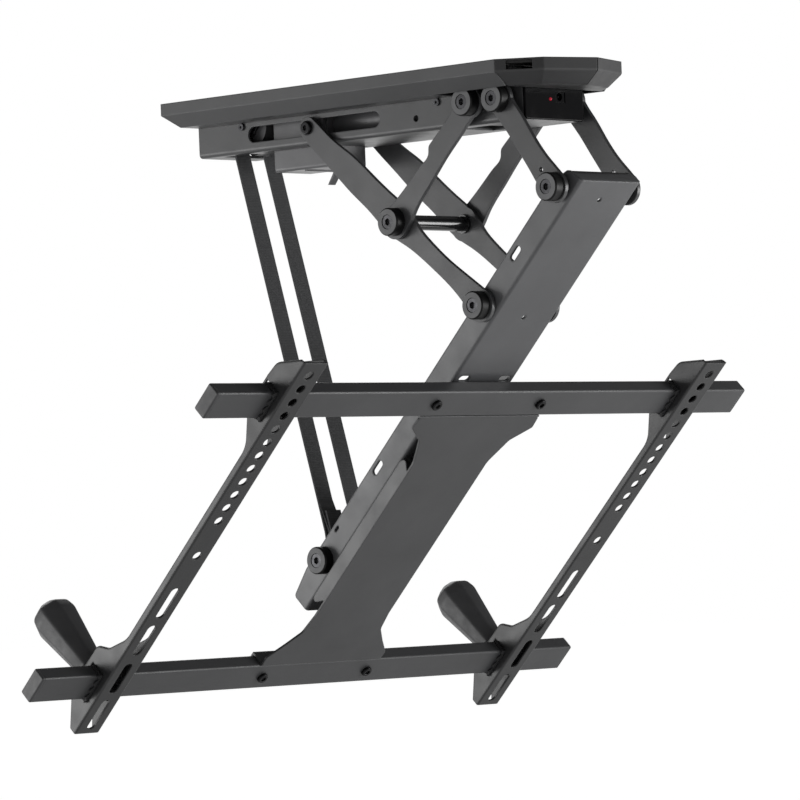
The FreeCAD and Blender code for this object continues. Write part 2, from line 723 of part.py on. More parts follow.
def link_b(side):
    """The outer arm from the base to the middle pin, notched on its lower edge."""
    reach = outer_arm_length
    low_side = [(0, -13.5), (14, -11.6), (30, -11.0), (47, -12.0), (58, -12.9), (62.5, -12.7), (67.5, -9.0),
                (72, -7.5), (80, -8.5), (92, -9.7), (110, -10.9), (126, -12.6), (reach, -15.5)]
    high_side = [(0, 13.5), (9, 11.8), (30, 11.1), (55, 10.1), (67, 10.2), (87, 10.9), (107, 11.2),
                 (116, 12.0), (126, 13.9), (reach, 15.5)]
    blank = link_blank(outer_link_x, ARM_PIVOT, 180.0 + outer_arm_angle, low_side, high_side,
                       [(0, 14.5), (reach, 16)])
    whole = bored(blank, outer_link_x, (ARM_PIVOT, MIDDLE_PIN), bush_radius)
    return whole if side > 0 else mirrored(whole)


def link_c(side):
    """The guide arm from the base to the carrier's upper pin, with a small hole near its lower end."""
    length = math.hypot(GUIDE_PIN[0] - GUIDE_PIVOT[0], GUIDE_PIN[1] - GUIDE_PIVOT[1])
    heading = math.degrees(math.atan2(GUIDE_PIN[1] - GUIDE_PIVOT[1], GUIDE_PIN[0] - GUIDE_PIVOT[0]))
    low_side = [(0, -13.8), (9, -12.6), (20, -11.9), (31, -11.5), (51, -12.0), (71, -12.3), (89, -13.2),
                (length, -14.0)]
    high_side = [(0, 13.0), (13, 11.0), (30, 11.0), (54, 9.8), (66, 9.7), (77, 10.3), (87, 11.6),
                 (length, 14.0)]
    blank = link_blank(outer_link_x, GUIDE_PIVOT, heading, low_side, high_side, [(0, 14.5), (length, 14.5)])
    whole = bored(blank, outer_link_x, (GUIDE_PIVOT, GUIDE_PIN), bush_radius)
    small_hole = from_pin(from_pin(GUIDE_PIVOT, 84.0, heading), -1.5, heading + 90)
    whole = bored(whole, outer_link_x, (small_hole,), 2.2)
    return whole if side > 0 else mirrored(whole)


def bushes(x, pins):
    """Flat-ended bearing bushes pressed into the links' eyes."""
    rings = []
    for pin in pins:
        rings += both_sides(ring_x(bush_radius - 0.02, pin_radius + running_gap, x, x + link_thickness, pin))
    return group(rings)


def pin_cap(x, pin):
    """A chamfered cap with a recess round the bolt's head."""
    face = x + cap_thickness
    body = rod_x(cap_radius, x, face, pin)
    rim = [edge for edge in body.Edges if edge.BoundBox.XMin > face - 1e-6]
    body = body.makeChamfer(cap_chamfer, rim)
    recess = rod_x(bolt_head_radius + 0.3, face - bolt_head_height - 0.6, face + 1, pin)
    return body.cut([recess, rod_x(pin_radius + 0.1, x - 1, face, pin)])


def stepped_shank(thread_start, shoulder_start, seat, pin):
    """A bolt's shoulder up to its seat, with its thread where there is one."""
    shoulder = rod_x(pin_radius, shoulder_start, seat, pin)
    if thread_start < shoulder_start:
        return shoulder.fuse(rod_x(thread_radius, thread_start, shoulder_start, pin))
    return shoulder


def cap_seat(cap_x):
    return cap_x + cap_thickness - bolt_head_height - 0.6


def cap_head(cap_x, pin):
    """A round socket head that sits in its cap."""
    seat = cap_seat(cap_x)
    head = rod_x(bolt_head_radius, seat, seat + bolt_head_height, pin)
    return head.cut(hexagon_x(socket_across, seat + 1.2, seat + bolt_head_height + 0.1, pin))


def low_head(seat, pin):
    """A low rounded socket head."""
    face = seat + low_head_height
    head = rod_x(low_head_radius, seat, face, pin)
    rim = [edge for edge in head.Edges if edge.BoundBox.XMin > face - 1e-6]
    return head.makeFillet(1.5, rim).cut(hexagon_x(socket_across - 1, face - 2.0, face + 0.1, pin))


def pin_bolt(thread_start, shoulder_start, cap_x, pin):
    return cap_head(cap_x, pin).fuse(stepped_shank(thread_start, shoulder_start, cap_seat(cap_x), pin))


def low_bolt(thread_start, shoulder_start, seat, pin):
    return low_head(seat, pin).fuse(stepped_shank(thread_start, shoulder_start, seat, pin))


def bolt_pair(thread_start, shoulder_start, cap_x, pin):
    """The capped bolt on the near side and the low one on the far side."""
    return [pin_bolt(thread_start, shoulder_start, cap_x, pin),
            mirrored(low_bolt(thread_start, shoulder_start, cap_x, pin))]


outer_cap_x = outer_link_x + link_thickness + face_gap
inner_cap_x = inner_link_x + link_thickness + face_gap
thread_reach = 8.0
nut_across = 13.0
nut_thickness = 6.5


def caps(places):
    return group([pin_cap(x, pin) for x, pin in places])


def nut(x, pin):
    """A weld nut whose outer face is at x."""
    blank = hexagon_x(nut_across, x - nut_thickness, x, pin)
    return blank.cut(rod_x(thread_radius + 0.02, x - nut_thickness - 1, x + 1, pin))


def spacer(x0, x1, pin):
    return ring_x(spacer_radius, pin_radius + 0.1, x0, x1, pin)


def base_pins():
    """The shoulder bolts of the arms' base pivots with their spacers and nuts."""
    solids = []
    for pin in (ARM_PIVOT, GUIDE_PIVOT):
        solids += bolt_pair(base_inner_x - thread_reach, base_half_width, outer_cap_x, pin)
        solids += both_sides(spacer(base_half_width, outer_link_x - face_gap, pin))
        solids += both_sides(nut(base_inner_x, pin))
    return group(solids)


cross_shaft_radius = 7.0
shaft_thread_depth = 16.0


def cross_shaft():
    """The shaft between the two long arms, with its welded collars and tapped ends."""
    reach = inner_link_x + link_thickness
    shaft = rod_x(cross_shaft_radius, -reach, reach, MIDDLE_PIN)
    collars = both_sides(rod_x(spacer_radius - 1, inner_link_x - 3, inner_link_x, MIDDLE_PIN))
    holes = both_sides(rod_x(thread_radius, reach - shaft_thread_depth - 2, reach + 1, MIDDLE_PIN))
    return shaft.fuse(collars).cut(holes).removeSplitter()


def middle_pins():
    reach = inner_link_x + link_thickness
    bolts = bolt_pair(reach - shaft_thread_depth, reach, outer_cap_x, MIDDLE_PIN)
    return group(bolts + both_sides(spacer(reach, outer_link_x - face_gap, MIDDLE_PIN)))


def carrier_pins():
    """Bolts of the arms' lower ends and of the straps' axle, with spacers and nuts."""
    inner = carrier_half_width - carrier_sheet
    solids = bolt_pair(inner - thread_reach, carrier_half_width, inner_cap_x, CARRIER_PIN)
    solids += both_sides(spacer(carrier_half_width, inner_link_x - face_gap, CARRIER_PIN))
    solids += both_sides(nut(inner, CARRIER_PIN))
    return group(solids + axle_bolts(inner - 12))


def guide_pins():
    """Bolts and spacers of the guide arms' lower ends; they stop short of the carrier's sides."""
    start = carrier_half_width + 0.7
    return group(bolt_pair(start, start, outer_cap_x, GUIDE_PIN)
                 + both_sides(spacer(start, outer_link_x - face_gap, GUIDE_PIN)))


# Slide
slide_block_length = 20.0
slide_plate_thickness = 3.0


def slide_blocks():
    """Nylon blocks that run in the base's slots, each with a wider plate inside the channel."""
    inner = base_inner_x
    half = slide_block_length / 2
    height = slot_height / 2 - slide_play
    y, z = SLIDE_PIN
    block = plate_yz([(y - half, z - height, 5.5), (y + half, z - height, 5.5), (y + half, z + height, 5.5),
                      (y - half, z + height, 5.5)], inner - 0.4, base_sheet + 0.8)
    plate = plate_yz([(y - half - 2, z - 10, 3), (y + half + 2, z - 10, 3), (y + half + 2, z + 11, 3),
                      (y - half - 2, z + 11, 3)], inner - 0.4 - slide_plate_thickness, slide_plate_thickness)
    hole = rod_x(thread_radius + 0.02, inner - 10, base_half_width + 5, SLIDE_PIN)
    return group(both_sides(block.fuse(plate).cut(hole)))


def slide_pins():
    """Low bolts and washers that hold the arms' upper ends to the slide blocks."""
    shoulder_x = base_half_width + 0.4
    bolt = low_bolt(base_inner_x - 3.4, shoulder_x, inner_cap_x, SLIDE_PIN)
    washer = ring_x(9.0, pin_radius + 0.1, shoulder_x, inner_link_x - face_gap, SLIDE_PIN)
    return group(both_sides(bolt) + both_sides(washer))


# Carrier
def carrier_channel():
    """The long folded channel, with a closed upper end and a tapered lower end."""
    w, t = carrier_half_width, carrier_sheet
    front, back = carrier_front_b, carrier_back_b
    side = [(carrier_low_s, front, 0), (carrier_top_s, front, 0), (carrier_top_s, front + 4, 0),
            (carrier_top_s - 3, back - 7, 5), (carrier_top_s - 24, back, 8), (carrier_low_s + 30, back, 10),
            (carrier_low_s, back - 5.5, 4)]
    outer = plate_yz(side, -w, 2 * w)
    inner_side = [(carrier_low_s - 1, front + t, 0), (carrier_top_s - t, front + t, 0),
                  (carrier_top_s - t, back + 1, 0), (carrier_low_s - 1, back + 1, 0)]
    inner = plate_yz(inner_side, -w + t, 2 * (w - t))
    bends = [edge for edge in outer.Edges
             if abs(edge.BoundBox.ZMin - front) < 1e-6 and edge.BoundBox.ZLength < 1e-6
             and edge.BoundBox.YLength > 100]
    outer = outer.makeFillet(3.0, bends)
    cutters = [inner]
    for s, b, length, height in carrier_slots:
        cutters.append(slot_cutter_yz(s - length / 2, s + length / 2, b, height, -w - 1, w + 1))
    for s, b in ((carrier_pin_s, carrier_pin_b), (guide_pin_s, guide_pin_b), (strap_pin_s, strap_pin_b)):
        cutters.append(rod_x(thread_radius + running_gap, -w - 1, w + 1, (s, b)))
    for x, s in ((0.0, 214.0), (0.0, carrier_pin_s)):
        cutters.append(Part.makeCylinder(2.5, t + 2, V(x, s, front - 1)))
    for x in (-27, 27):
        cutters.append(slot_cutter_xy(x, -1.0, 14, 7, front - 1, front + t + 1, True))
    for x, s in tray_bolt_places():
        cutters.append(Part.makeCylinder(thread_radius + running_gap, t + 2, V(x, s, front - 1)))
    return carried(outer.cut(cutters))


def tray_bolt_places():
    places_s = (tray_bolt_upper_s, lower_rail_s + tray_bolt_lower_gap)
    return [(x, s) for x in (-tray_bolt_x, tray_bolt_x) for s in places_s]


def tray_plate():
    """The waisted plate between the rails, with side flanges and tabs behind both rails."""
    w, t, flare = tray_half_width, tray_sheet, tray_flare
    top, low = -rail_height - 2.0, lower_rail_s + 2.0
    right = [(flare, top, 2), (flare + 1, top - 13, 3), (w + 11, top - 29, 8), (w, top - 56, 20),
             (w, low + 60.3, 20), (w + 3, low + 39.3, 10), (w + 16.3, low + 23.3, 8), (flare, low + 8, 4),
             (flare, low, 2)]
    left = [(-x, s, r) for x, s, r in reversed(right)]
    front = plate_xy(right + left, 0, t)
    flange_side = [(low + 80.3, t / 2, 0), (low + 68.3, rail_depth - 4, 3), (low + 74.3, rail_depth - 0.5, 3),
                   (top - 66, rail_depth - 0.5, 3), (top - 60, rail_depth - 4, 3), (top - 68, t / 2, 0)]
    flange = plate_yz(flange_side, w - t, t)
    tab_depth = rail_depth + 0.2
    upper = box(-flare, flare, top, top + 2, 0, tab_depth + t).fuse(
        box(-flare, flare, top, top + 26, tab_depth, tab_depth + t))
    lower = box(-flare, flare, low - 2, low, 0, tab_depth + t).fuse(
        box(-flare, flare, low - 26, low, tab_depth, tab_depth + t))
    body = front.fuse(both_sides(flange) + [upper, lower])
    holes = [Part.makeCylinder(3.0 + running_gap, 10, V(x, s, tab_depth - 4))
             for x in (-rail_screw_x, rail_screw_x) for s in (rail_middle_s, lower_rail_middle_s)]
    return carried(body.cut(holes).removeSplitter())


def rail_profile(s0, wall):
    r = rail_corner if wall == 0 else max(rail_corner - wall, 0.3)
    return [(s0 - rail_height + wall, wall, r), (s0 - wall, wall, r),
            (s0 - wall, rail_depth - wall, r), (s0 - rail_height + wall, rail_depth - wall, r)]


cap_lip = 3.0


def rail(top_s):
    """A rectangular tube with rounded corners and two screw holes."""
    half = rail_length / 2 - cap_lip
    outer = plate_yz(rail_profile(top_s, 0), -half, 2 * half)
    inner = plate_yz(rail_profile(top_s, rail_wall), -half - 1, 2 * half + 2)
    holes = [Part.makeCylinder(3.0 + running_gap, rail_depth + 2, V(x, top_s - rail_height / 2, -1))
             for x in (-rail_screw_x, rail_screw_x)]
    return carried(outer.cut([inner] + holes))


def rail_caps():
    """Domed plugs in the rails' ends."""
    solids = []
    half = rail_length / 2
    for top_s in (0.0, lower_rail_s):
        plug = plate_yz(rail_profile(top_s, rail_wall + 0.1), half - cap_lip - 12, 12)
        lip = plate_yz(rail_profile(top_s, 0), half - cap_lip, cap_lip)
        rim = [edge for edge in lip.Edges if edge.BoundBox.XMin > half - 0.01]
        lip = lip.makeFillet(1.5, rim)
        solids += both_sides(plug.fuse(lip))
    return carried(group(solids))


def rail_screws():
    solids = []
    for x in (-rail_screw_x, rail_screw_x):
        for s in (rail_middle_s, lower_rail_middle_s):
            head = Part.makeCylinder(5.5, 3.2, V(x, s, -3.2))
            rim = [edge for edge in head.Edges if edge.BoundBox.ZMax < -3.1]
            head = head.makeFillet(1.2, rim)
            shank = Part.makeCylinder(3.0, rail_depth + 8, V(x, s, 0))
            socket = hexagon_z(5.0, x, s, -3.3, 2.2)
            nut = Part.makeCylinder(5.2, 5, V(x, s, rail_depth + 0.2 + tray_sheet))
            solids.append(head.fuse([shank, nut]).cut(socket))
    return carried(group(solids))


def carrier_spacers():
    """Tubes between the plate and the channel, and the strip behind the upper rail."""
    t = tray_sheet
    tubes = []
    for x, s in tray_bolt_places():
        tube = Part.makeCylinder(8, carrier_front_b - t, V(x, s, t))
        tubes.append(tube.cut(Part.makeCylinder(thread_radius + 0.02, 40, V(x, s, t + 3))))
    strip = box(-34, 34, -28, -10, rail_depth + 0.2 + t, carrier_front_b)
    return carried(group(tubes + [strip]))


def tray_bolts():
    """Hexagon bolts inside the carrier that hold the plate's spacers."""
    solids = []
    inside = carrier_front_b + carrier_sheet
    for x, s in tray_bolt_places():
        shank = Part.makeCylinder(thread_radius, inside - 8, V(x, s, 8))
        solids.append(shank.fuse(hexagon_z(nut_across, x, s, inside, 5.3)))
    return carried(group(solids))


sleeve_radius = 6.5
axle_thread_radius = 3.0


def strap_axle():
    """The axle across the carrier's lower end, with tapped ends."""
    reach = carrier_half_width - carrier_sheet
    axle = rod_x(pin_radius, -reach, reach, STRAP_PIN)
    return axle.cut(both_sides(rod_x(axle_thread_radius, reach - 14, reach + 1, STRAP_PIN)))


def strap_sleeves():
    """Loose sleeves on the axle, with flanges that keep the straps apart."""
    x0, x1 = strap_x - strap_width / 2, strap_x + strap_width / 2
    solids = []
    sleeve = rod_x(sleeve_radius, x0 - 1.5, x1 + 1.5, STRAP_PIN)
    rims = [rod_x(sleeve_radius + 2.5, x, x + 1.2, STRAP_PIN) for x in (x0 - 1.5, x1 + 0.3)]
    whole = sleeve.fuse(rims).cut(rod_x(pin_radius + running_gap, x0 - 3, x1 + 3, STRAP_PIN))
    solids += both_sides(whole.removeSplitter())
    return group(solids)


def axle_bolts(thread_end):
    """The bolts in the ends of the straps' axle, capped on the near side."""
    start = carrier_half_width
    near = cap_head(start, STRAP_PIN).fuse(rod_x(axle_thread_radius, thread_end, cap_seat(start), STRAP_PIN))
    far = low_head(start, STRAP_PIN).fuse(rod_x(axle_thread_radius, thread_end, start, STRAP_PIN))
    return [near, mirrored(far)]


# Television brackets
def ear_outline():
    """The flange's edge: a narrow band that widens into an ear behind each rail."""
    band = bracket_band_b
    low_top = lower_rail_s + 2
    return [(bracket_top_s, bracket_front_b, 0), (bracket_top_s - 1, -3.2, 0), (21.0, 18.0, 12),
            (5.0, 19.6, 0), (-34.0, 19.6, 14), (-62.0, band, 24), (low_top + 46, band, 24),
            (low_top + 24, 9.5, 10), (low_top + 15, 22.8, 8), (low_top - 38, 22.8, 10),
            (bracket_low_s, -0.8, 2), (bracket_low_s, bracket_front_b, 2)]


def rail_windows(grow, x0, x1):
    """Cutters for the rails' windows, from the band's edge to behind the rail."""
    windows = []
    for top_s in (0.0, lower_rail_s):
        windows.append(box(x0, x1, top_s - rail_height - grow, top_s + grow, -grow, rail_depth + 1.5))
    return windows


def bracket(side):
    """A folded channel with a row of holes, four slots and an ear behind each rail."""
    half = bracket_width / 2
    outer = plate_yz(ear_outline(), bracket_x - half, bracket_width)
    t = bracket_sheet
    hollow = box(bracket_x - half + t, bracket_x + half - t, bracket_low_s - 1, bracket_top_s + 1,
                 bracket_front_b + t, 40)
    bends = [edge for edge in outer.Edges
             if abs(edge.BoundBox.ZMin - bracket_front_b) < 1e-6 and edge.BoundBox.ZLength < 1e-6
             and edge.BoundBox.YLength > 100]
    outer = outer.makeFillet(1.8, bends)
    cutters = [hollow] + rail_windows(liner_thickness, bracket_x - half - 1, bracket_x + half + 1)
    z0, z1 = bracket_front_b - 1, bracket_front_b + t + 1
    hole_places = [first_hole_s - i * hole_pitch for i in range(hole_count)]
    hole_places.append(first_hole_s - hole_pitch - vesa_height)
    for s in hole_places:
        cutters.append(Part.makeCylinder(hole_radius, z1 - z0, V(bracket_x, s, z0)))
    for step in slot_steps:
        s = first_hole_s - step
        cutters.append(slot_cutter_xy(bracket_x, s, slot_overall, 2 * hole_radius, z0, z1, False))
    whole = carried(outer.cut(cutters).fuse(clamp_block()).removeSplitter())
    return whole if side > 0 else mirrored(whole)


def bracket_liners(side):
    """Rubber clips on the windows' edges that slide on the rails."""
    solids = []
    half = bracket_width / 2
    t = liner_thickness
    for top_s in (0.0, lower_rail_s):
        for edge_x in (bracket_x - half + bracket_sheet / 2, bracket_x + half - bracket_sheet / 2):
            x0, x1 = edge_x - liner_width / 2, edge_x + liner_width / 2
            low = top_s - rail_height
            clip = box(x0, x1, low - t, top_s + t, -t, 13.0)
            rail_space = box(x0 - 1, x1 + 1, low, top_s, 0, 14.0)
            solids.append(clip.cut(rail_space))
    whole = carried(group(solids))
    return whole if side > 0 else mirrored(whole)


block_depth = 7.0


def clamp_block():
    """A block welded behind the lower rail, bored for the clamp stud."""
    half = bracket_width / 2 - bracket_sheet
    middle = lower_rail_middle_s
    start = rail_depth + 1.8
    block = box(bracket_x - half, bracket_x + half, middle - 13, middle + 13, start, start + block_depth)
    hole = Part.makeCylinder(stud_radius + running_gap, 20, V(bracket_x, middle, start - 1))
    return block.cut(hole)


def knob(side):
    """A flared eight-sided clamp knob with its threaded stud."""
    start = rail_depth + 1.8 + block_depth + face_gap
    stations = [(start, knob_narrow), (start + 4, knob_narrow), (knob_reach - 18, knob_wide),
                (knob_reach - 8, knob_wide - 4), (knob_reach, knob_wide - 22)]
    wires = []
    middle = (bracket_x, lower_rail_middle_s)
    for b, across in stations:
        radius = across / 2 / math.cos(math.pi / knob_sides)
        corners = [from_pin(middle, radius, 360 * (i + 0.5) / knob_sides) for i in range(knob_sides + 1)]
        wires.append(Part.makePolygon([V(x, s, b) for x, s in corners]))
    grip = Part.makeLoft(wires, True, True)
    stud_start = rail_depth + face_gap
    stud = Part.makeCylinder(stud_radius, start + 2 - stud_start, V(*middle, stud_start))
    whole = carried(grip.fuse(stud))
    return whole if side > 0 else mirrored(whole)


SIDES = (("left", 1), ("right", -1))


def all_parts():
    parts = {
        "ceiling_plate": ceiling_plate(),
        "cover": cover(),
        "cover_screws": cover_screws(),
        "base_channel": base_channel(),
        "control_face": control_face(),
        "status_lamp": status_lamp(),
        "power_socket": power_socket(),
        "control_board": control_board(),
        "gearbox": gearbox(),
        "motor": motor(),
        "limit_switches": limit_switches(),
        "spool_bearings": spool_bearings(),
        "guide_rollers": guide_rollers(),
        "spool_shaft": spool_shaft(),
        "strap_feeds": strap_feeds(),
        "base_pins": base_pins(),
        "base_caps": caps([(outer_cap_x, ARM_PIVOT), (outer_cap_x, GUIDE_PIVOT)]),
        "arm_bushes_long": bushes(inner_link_x, (SLIDE_PIN, CARRIER_PIN)),
        "arm_bushes_outer": bushes(outer_link_x, (ARM_PIVOT, MIDDLE_PIN)),
        "arm_bushes_guide": bushes(outer_link_x, (GUIDE_PIVOT, GUIDE_PIN)),
        "cross_shaft": cross_shaft(),
        "middle_pins": middle_pins(),
        "middle_caps": caps([(outer_cap_x, MIDDLE_PIN)]),
        "slide_blocks": slide_blocks(),
        "slide_pins": slide_pins(),
        "carrier_channel": carrier_channel(),
        "carrier_pins": carrier_pins(),
        "carrier_caps": caps([(inner_cap_x, CARRIER_PIN), (carrier_half_width, STRAP_PIN)]),
        "guide_pins": guide_pins(),
        "guide_caps": caps([(outer_cap_x, GUIDE_PIN)]),
        "tray_plate": tray_plate(),
        "carrier_spacers": carrier_spacers(),
        "tray_bolts": tray_bolts(),
        "rail_upper": rail(0.0),
        "rail_lower": rail(lower_rail_s),
        "rail_caps": rail_caps(),
        "rail_screws": rail_screws(),
        "strap_axle": strap_axle(),
        "strap_sleeves": strap_sleeves(),
    }
    for word, side in SIDES:
        parts["end_cover_" + word] = end_cover(side)
        parts["spool_" + word] = spool(side)
        parts["strap_" + word] = strap_run(side)
        parts["link_a_" + word] = link_a(side)
        parts["link_b_" + word] = link_b(side)
        parts["link_c_" + word] = link_c(side)
        parts["bracket_" + word] = bracket(side)
        parts["liners_" + word] = bracket_liners(side)
        parts["knob_" + word] = knob(side)
    parts["strap_tails"] = group([strap_tail(1), strap_tail(-1)])
    return parts


def main():
    os.makedirs("parts", exist_ok=True)
    for name, shape in sorted(all_parts().items()):
        shape.exportStep("parts/" + name + ".step")
        print(name, len(shape.Solids), shape.isValid(), round(shape.Volume, 1))


main()
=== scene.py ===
"""Motorised ceiling mount for a television: finishes, webbing, clamp knobs and studio."""
import bmesh
import bpy
import json
import math
from bpy.props import FloatProperty, FloatVectorProperty, PointerProperty
from mathutils import Matrix, Vector


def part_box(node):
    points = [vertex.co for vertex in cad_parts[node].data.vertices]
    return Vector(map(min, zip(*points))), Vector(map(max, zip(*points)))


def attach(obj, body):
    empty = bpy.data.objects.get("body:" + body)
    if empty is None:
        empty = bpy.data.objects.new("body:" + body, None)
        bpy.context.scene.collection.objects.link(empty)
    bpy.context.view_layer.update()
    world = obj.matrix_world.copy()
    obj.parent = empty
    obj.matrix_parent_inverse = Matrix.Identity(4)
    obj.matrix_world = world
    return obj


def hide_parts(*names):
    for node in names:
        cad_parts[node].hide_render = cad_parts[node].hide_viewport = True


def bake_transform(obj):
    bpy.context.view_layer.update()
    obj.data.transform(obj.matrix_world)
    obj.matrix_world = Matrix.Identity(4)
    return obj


bl_info = {
    "name": "Ceiling mount dressing",
    "version": (1, 0, 0),
    "blender": (4, 5, 0),
    "location": "View3D > Sidebar > Mount",
    "description": "Gives the ceiling mount its coatings, webbing, knobs and studio",
    "category": "Object",
}

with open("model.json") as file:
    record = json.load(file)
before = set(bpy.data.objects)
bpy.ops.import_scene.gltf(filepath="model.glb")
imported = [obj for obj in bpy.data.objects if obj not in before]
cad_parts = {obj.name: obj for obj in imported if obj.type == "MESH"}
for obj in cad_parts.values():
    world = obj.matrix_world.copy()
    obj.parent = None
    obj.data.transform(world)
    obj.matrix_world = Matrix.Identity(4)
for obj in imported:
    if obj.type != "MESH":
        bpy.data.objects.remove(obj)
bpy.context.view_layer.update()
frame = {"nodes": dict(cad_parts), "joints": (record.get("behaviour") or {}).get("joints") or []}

# The carrier's tilt at rest, and the directions up its channel and out of its back
CARRIER_TILT = math.radians(45.4)
CARRIER_UP = Vector((0, math.cos(CARRIER_TILT), math.sin(CARRIER_TILT)))
CARRIER_BACK = Vector((0, -math.sin(CARRIER_TILT), math.cos(CARRIER_TILT)))

# The sign of X on each side
SIDES = {"left": 1, "right": -1}

# Powder coats: tone of the coat's colour, which paints light and shade per part, rounding of its
# edges in metres, lightening of its edges, partly rubbed wear and partly painted highlight, nodes
COATED = {
    "base_coat": (0.56, 0.0014, 0.5, ["ceiling_plate", "cover", "base_channel"]),
    "arm_coat": (0.67, 0.0009, 0.5, ["link_a_left", "link_a_right", "link_b_left", "link_b_right"]),
    "guide_coat": (0.5, 0.0009, 0.5, ["link_c_left", "link_c_right"]),
    "carrier_coat": (1.1, 0.0024, 0.1, ["carrier_channel"]),
    "tray_coat": (0.6, 0.0014, 0.4, ["tray_plate"]),
    "rail_coat": (0.64, 0.0018, 0.8, ["rail_upper", "rail_lower"]),
    "bracket_coat": (0.29, 0.0020, 0.05, ["bracket_left", "bracket_right"]),
}

# Nodes that share another finish
PIN_CAPS = ["base_caps", "middle_caps", "guide_caps", "carrier_caps"]
END_COVERS = ["end_cover_left", "end_cover_right"]
MOULDED = ["rail_caps", "limit_switches", "spool_left", "spool_right"]
SCREW_HEADS = ["slide_pins", "tray_bolts", "rail_screws"]
OXIDE = [
    "cover_screws", "spool_bearings", "base_pins", "middle_pins", "carrier_pins", "guide_pins",
    "carrier_spacers",
]
NYLON = [
    "guide_rollers", "slide_blocks", "strap_sleeves", "arm_bushes_long", "arm_bushes_outer",
    "arm_bushes_guide",
]

# A clamp knob: heights and half widths of the grip's rings from the stud on, and the stud's size
GRIP_RINGS = (
    (0.0, 0.013), (0.004, 0.013), (0.0639, 0.0205), (0.0739, 0.0185), (0.0789, 0.013),
    (0.0819, 0.0095),
)
GRIP_LENGTH = GRIP_RINGS[-1][0]
GRIP_SIDES = 8
STUD_RADIUS, STUD_LENGTH, STUD_MIDDLE = 0.004, 0.0105, -0.0035

# A rubber clip: half the width of one of its two strips, the gap that keeps it off the rails, and
# the distance and the angle under which its points merge and its faces join before it is cut
STRIP_HALF = 0.003
RAIL_GAP = 0.00012
MERGE_REACH, FLAT_ANGLE = 0.00001, 0.02

# A strap, by distances from the carrier's axle towards the guide roller: its sewn end, with the
# share of the sleeve's loop that it stands to one side, the place where it meets the free run, with
# the share of its thickness to the other side, and where the free run and the blend start
SLEEVE_RADIUS = 0.0067
SEWN_END = ((0.047, 0.7), (0.012, 0.75))
SEAM_MEETS_RUN = (0.014, 0.9)
RUN_START, BLEND_START = 0.02, 0.06
TURN_STEPS, RUN_STEPS = 16, 48

# Area lamps: place, target, side in metres and watts
LAMPS = {
    "left_light": ((1.7, -1.8, -0.55), (0.1, -0.05, -0.4), 1.2, 17.0),
    "front_light": ((-0.9, 1.2, -0.3), (-0.1, 0.15, -0.2), 0.6, 9.5),
    "right_light": ((-0.95, 0.6, -0.95), (-0.2, -0.1, -0.5), 0.3, 0.4),
    "back_light": ((-1.6, -2.6, 1.2), (0.0, 0.0, -0.3), 2.0, 22.0),
}

# The floor: half its side, the distances from the origin between which its glow grows to its full
# level, and its colour for the light it gives back and for the camera
FLOOR_HALF = 30.0
GLOW_NEAR, GLOW_FAR, GLOW_FULL = 0.5, 3.0, 0.95
FLOOR_GIVEN, FLOOR_SHOWN = (0.3, 0.3, 0.3, 1), (0.86, 0.86, 0.86, 1)

# The surround: its light at the horizon, the heights between which that falls to the light
# overhead, the side on which it is dimmed, from where to where, and how far
HORIZON_LEVEL, FALL_FROM, FALL_TO = 0.8, 0.02, 0.4
DIM_SIDE, DIM_FROM, DIM_TO, DIMMED_LEVEL = (0.7, 0.7, 0.0), 0.3, 0.9, 0.45

# The camera's lens and sensor in millimetres, its place, and its yaw, pitch and roll in degrees
LENS, SENSOR = 226.54, 36.0
CAMERA_PLACE = (3.3900, 3.2854, -0.4462)
CAMERA_TURN = (45.955, -1.8225, -2.358)

# The reach that a noise mostly keeps to, and how far normals agree on an edge and on a flat
NOISE_LOW, NOISE_HIGH = 0.3, 0.7
EDGE_LEAN, FLAT_LEAN = 0.86, 0.995

# The colour sockets of a Mix node, whose names its other kinds share
MIX_FIRST, MIX_SECOND, MIX_RESULT = 6, 7, 2

# Colours that the settings leave alone
GLOSS_BLACK = (0.003, 0.003, 0.0035)
NYLON_BLACK = (0.035, 0.035, 0.037)
CLIP_BLACK = (0.016, 0.016, 0.017)
LINING_BLACK = (0.006, 0.006, 0.006)
SHAFT_BLACK = (0.012, 0.012, 0.013)
SHAFT_STEEL = (0.5, 0.5, 0.51)
MOTOR_GREY = (0.10, 0.10, 0.104)
BOARD_GREEN = (0.02, 0.07, 0.035)
BARE_STEEL = (0.34, 0.34, 0.35, 1)

# Rounding of edges, in metres
MOULDED_EDGE, COVER_EDGE, CAP_EDGE, STEEL_EDGE = 0.0008, 0.0012, 0.0005, 0.0004

# The principled shader's inputs that only some finishes set
PRINCIPLED = {
    "specular": "Specular IOR Level",
    "metallic": "Metallic",
    "coat": "Coat Weight",
    "sheen": "Sheen Weight",
    "glow": "Emission Color",
    "glow_strength": "Emission Strength",
}


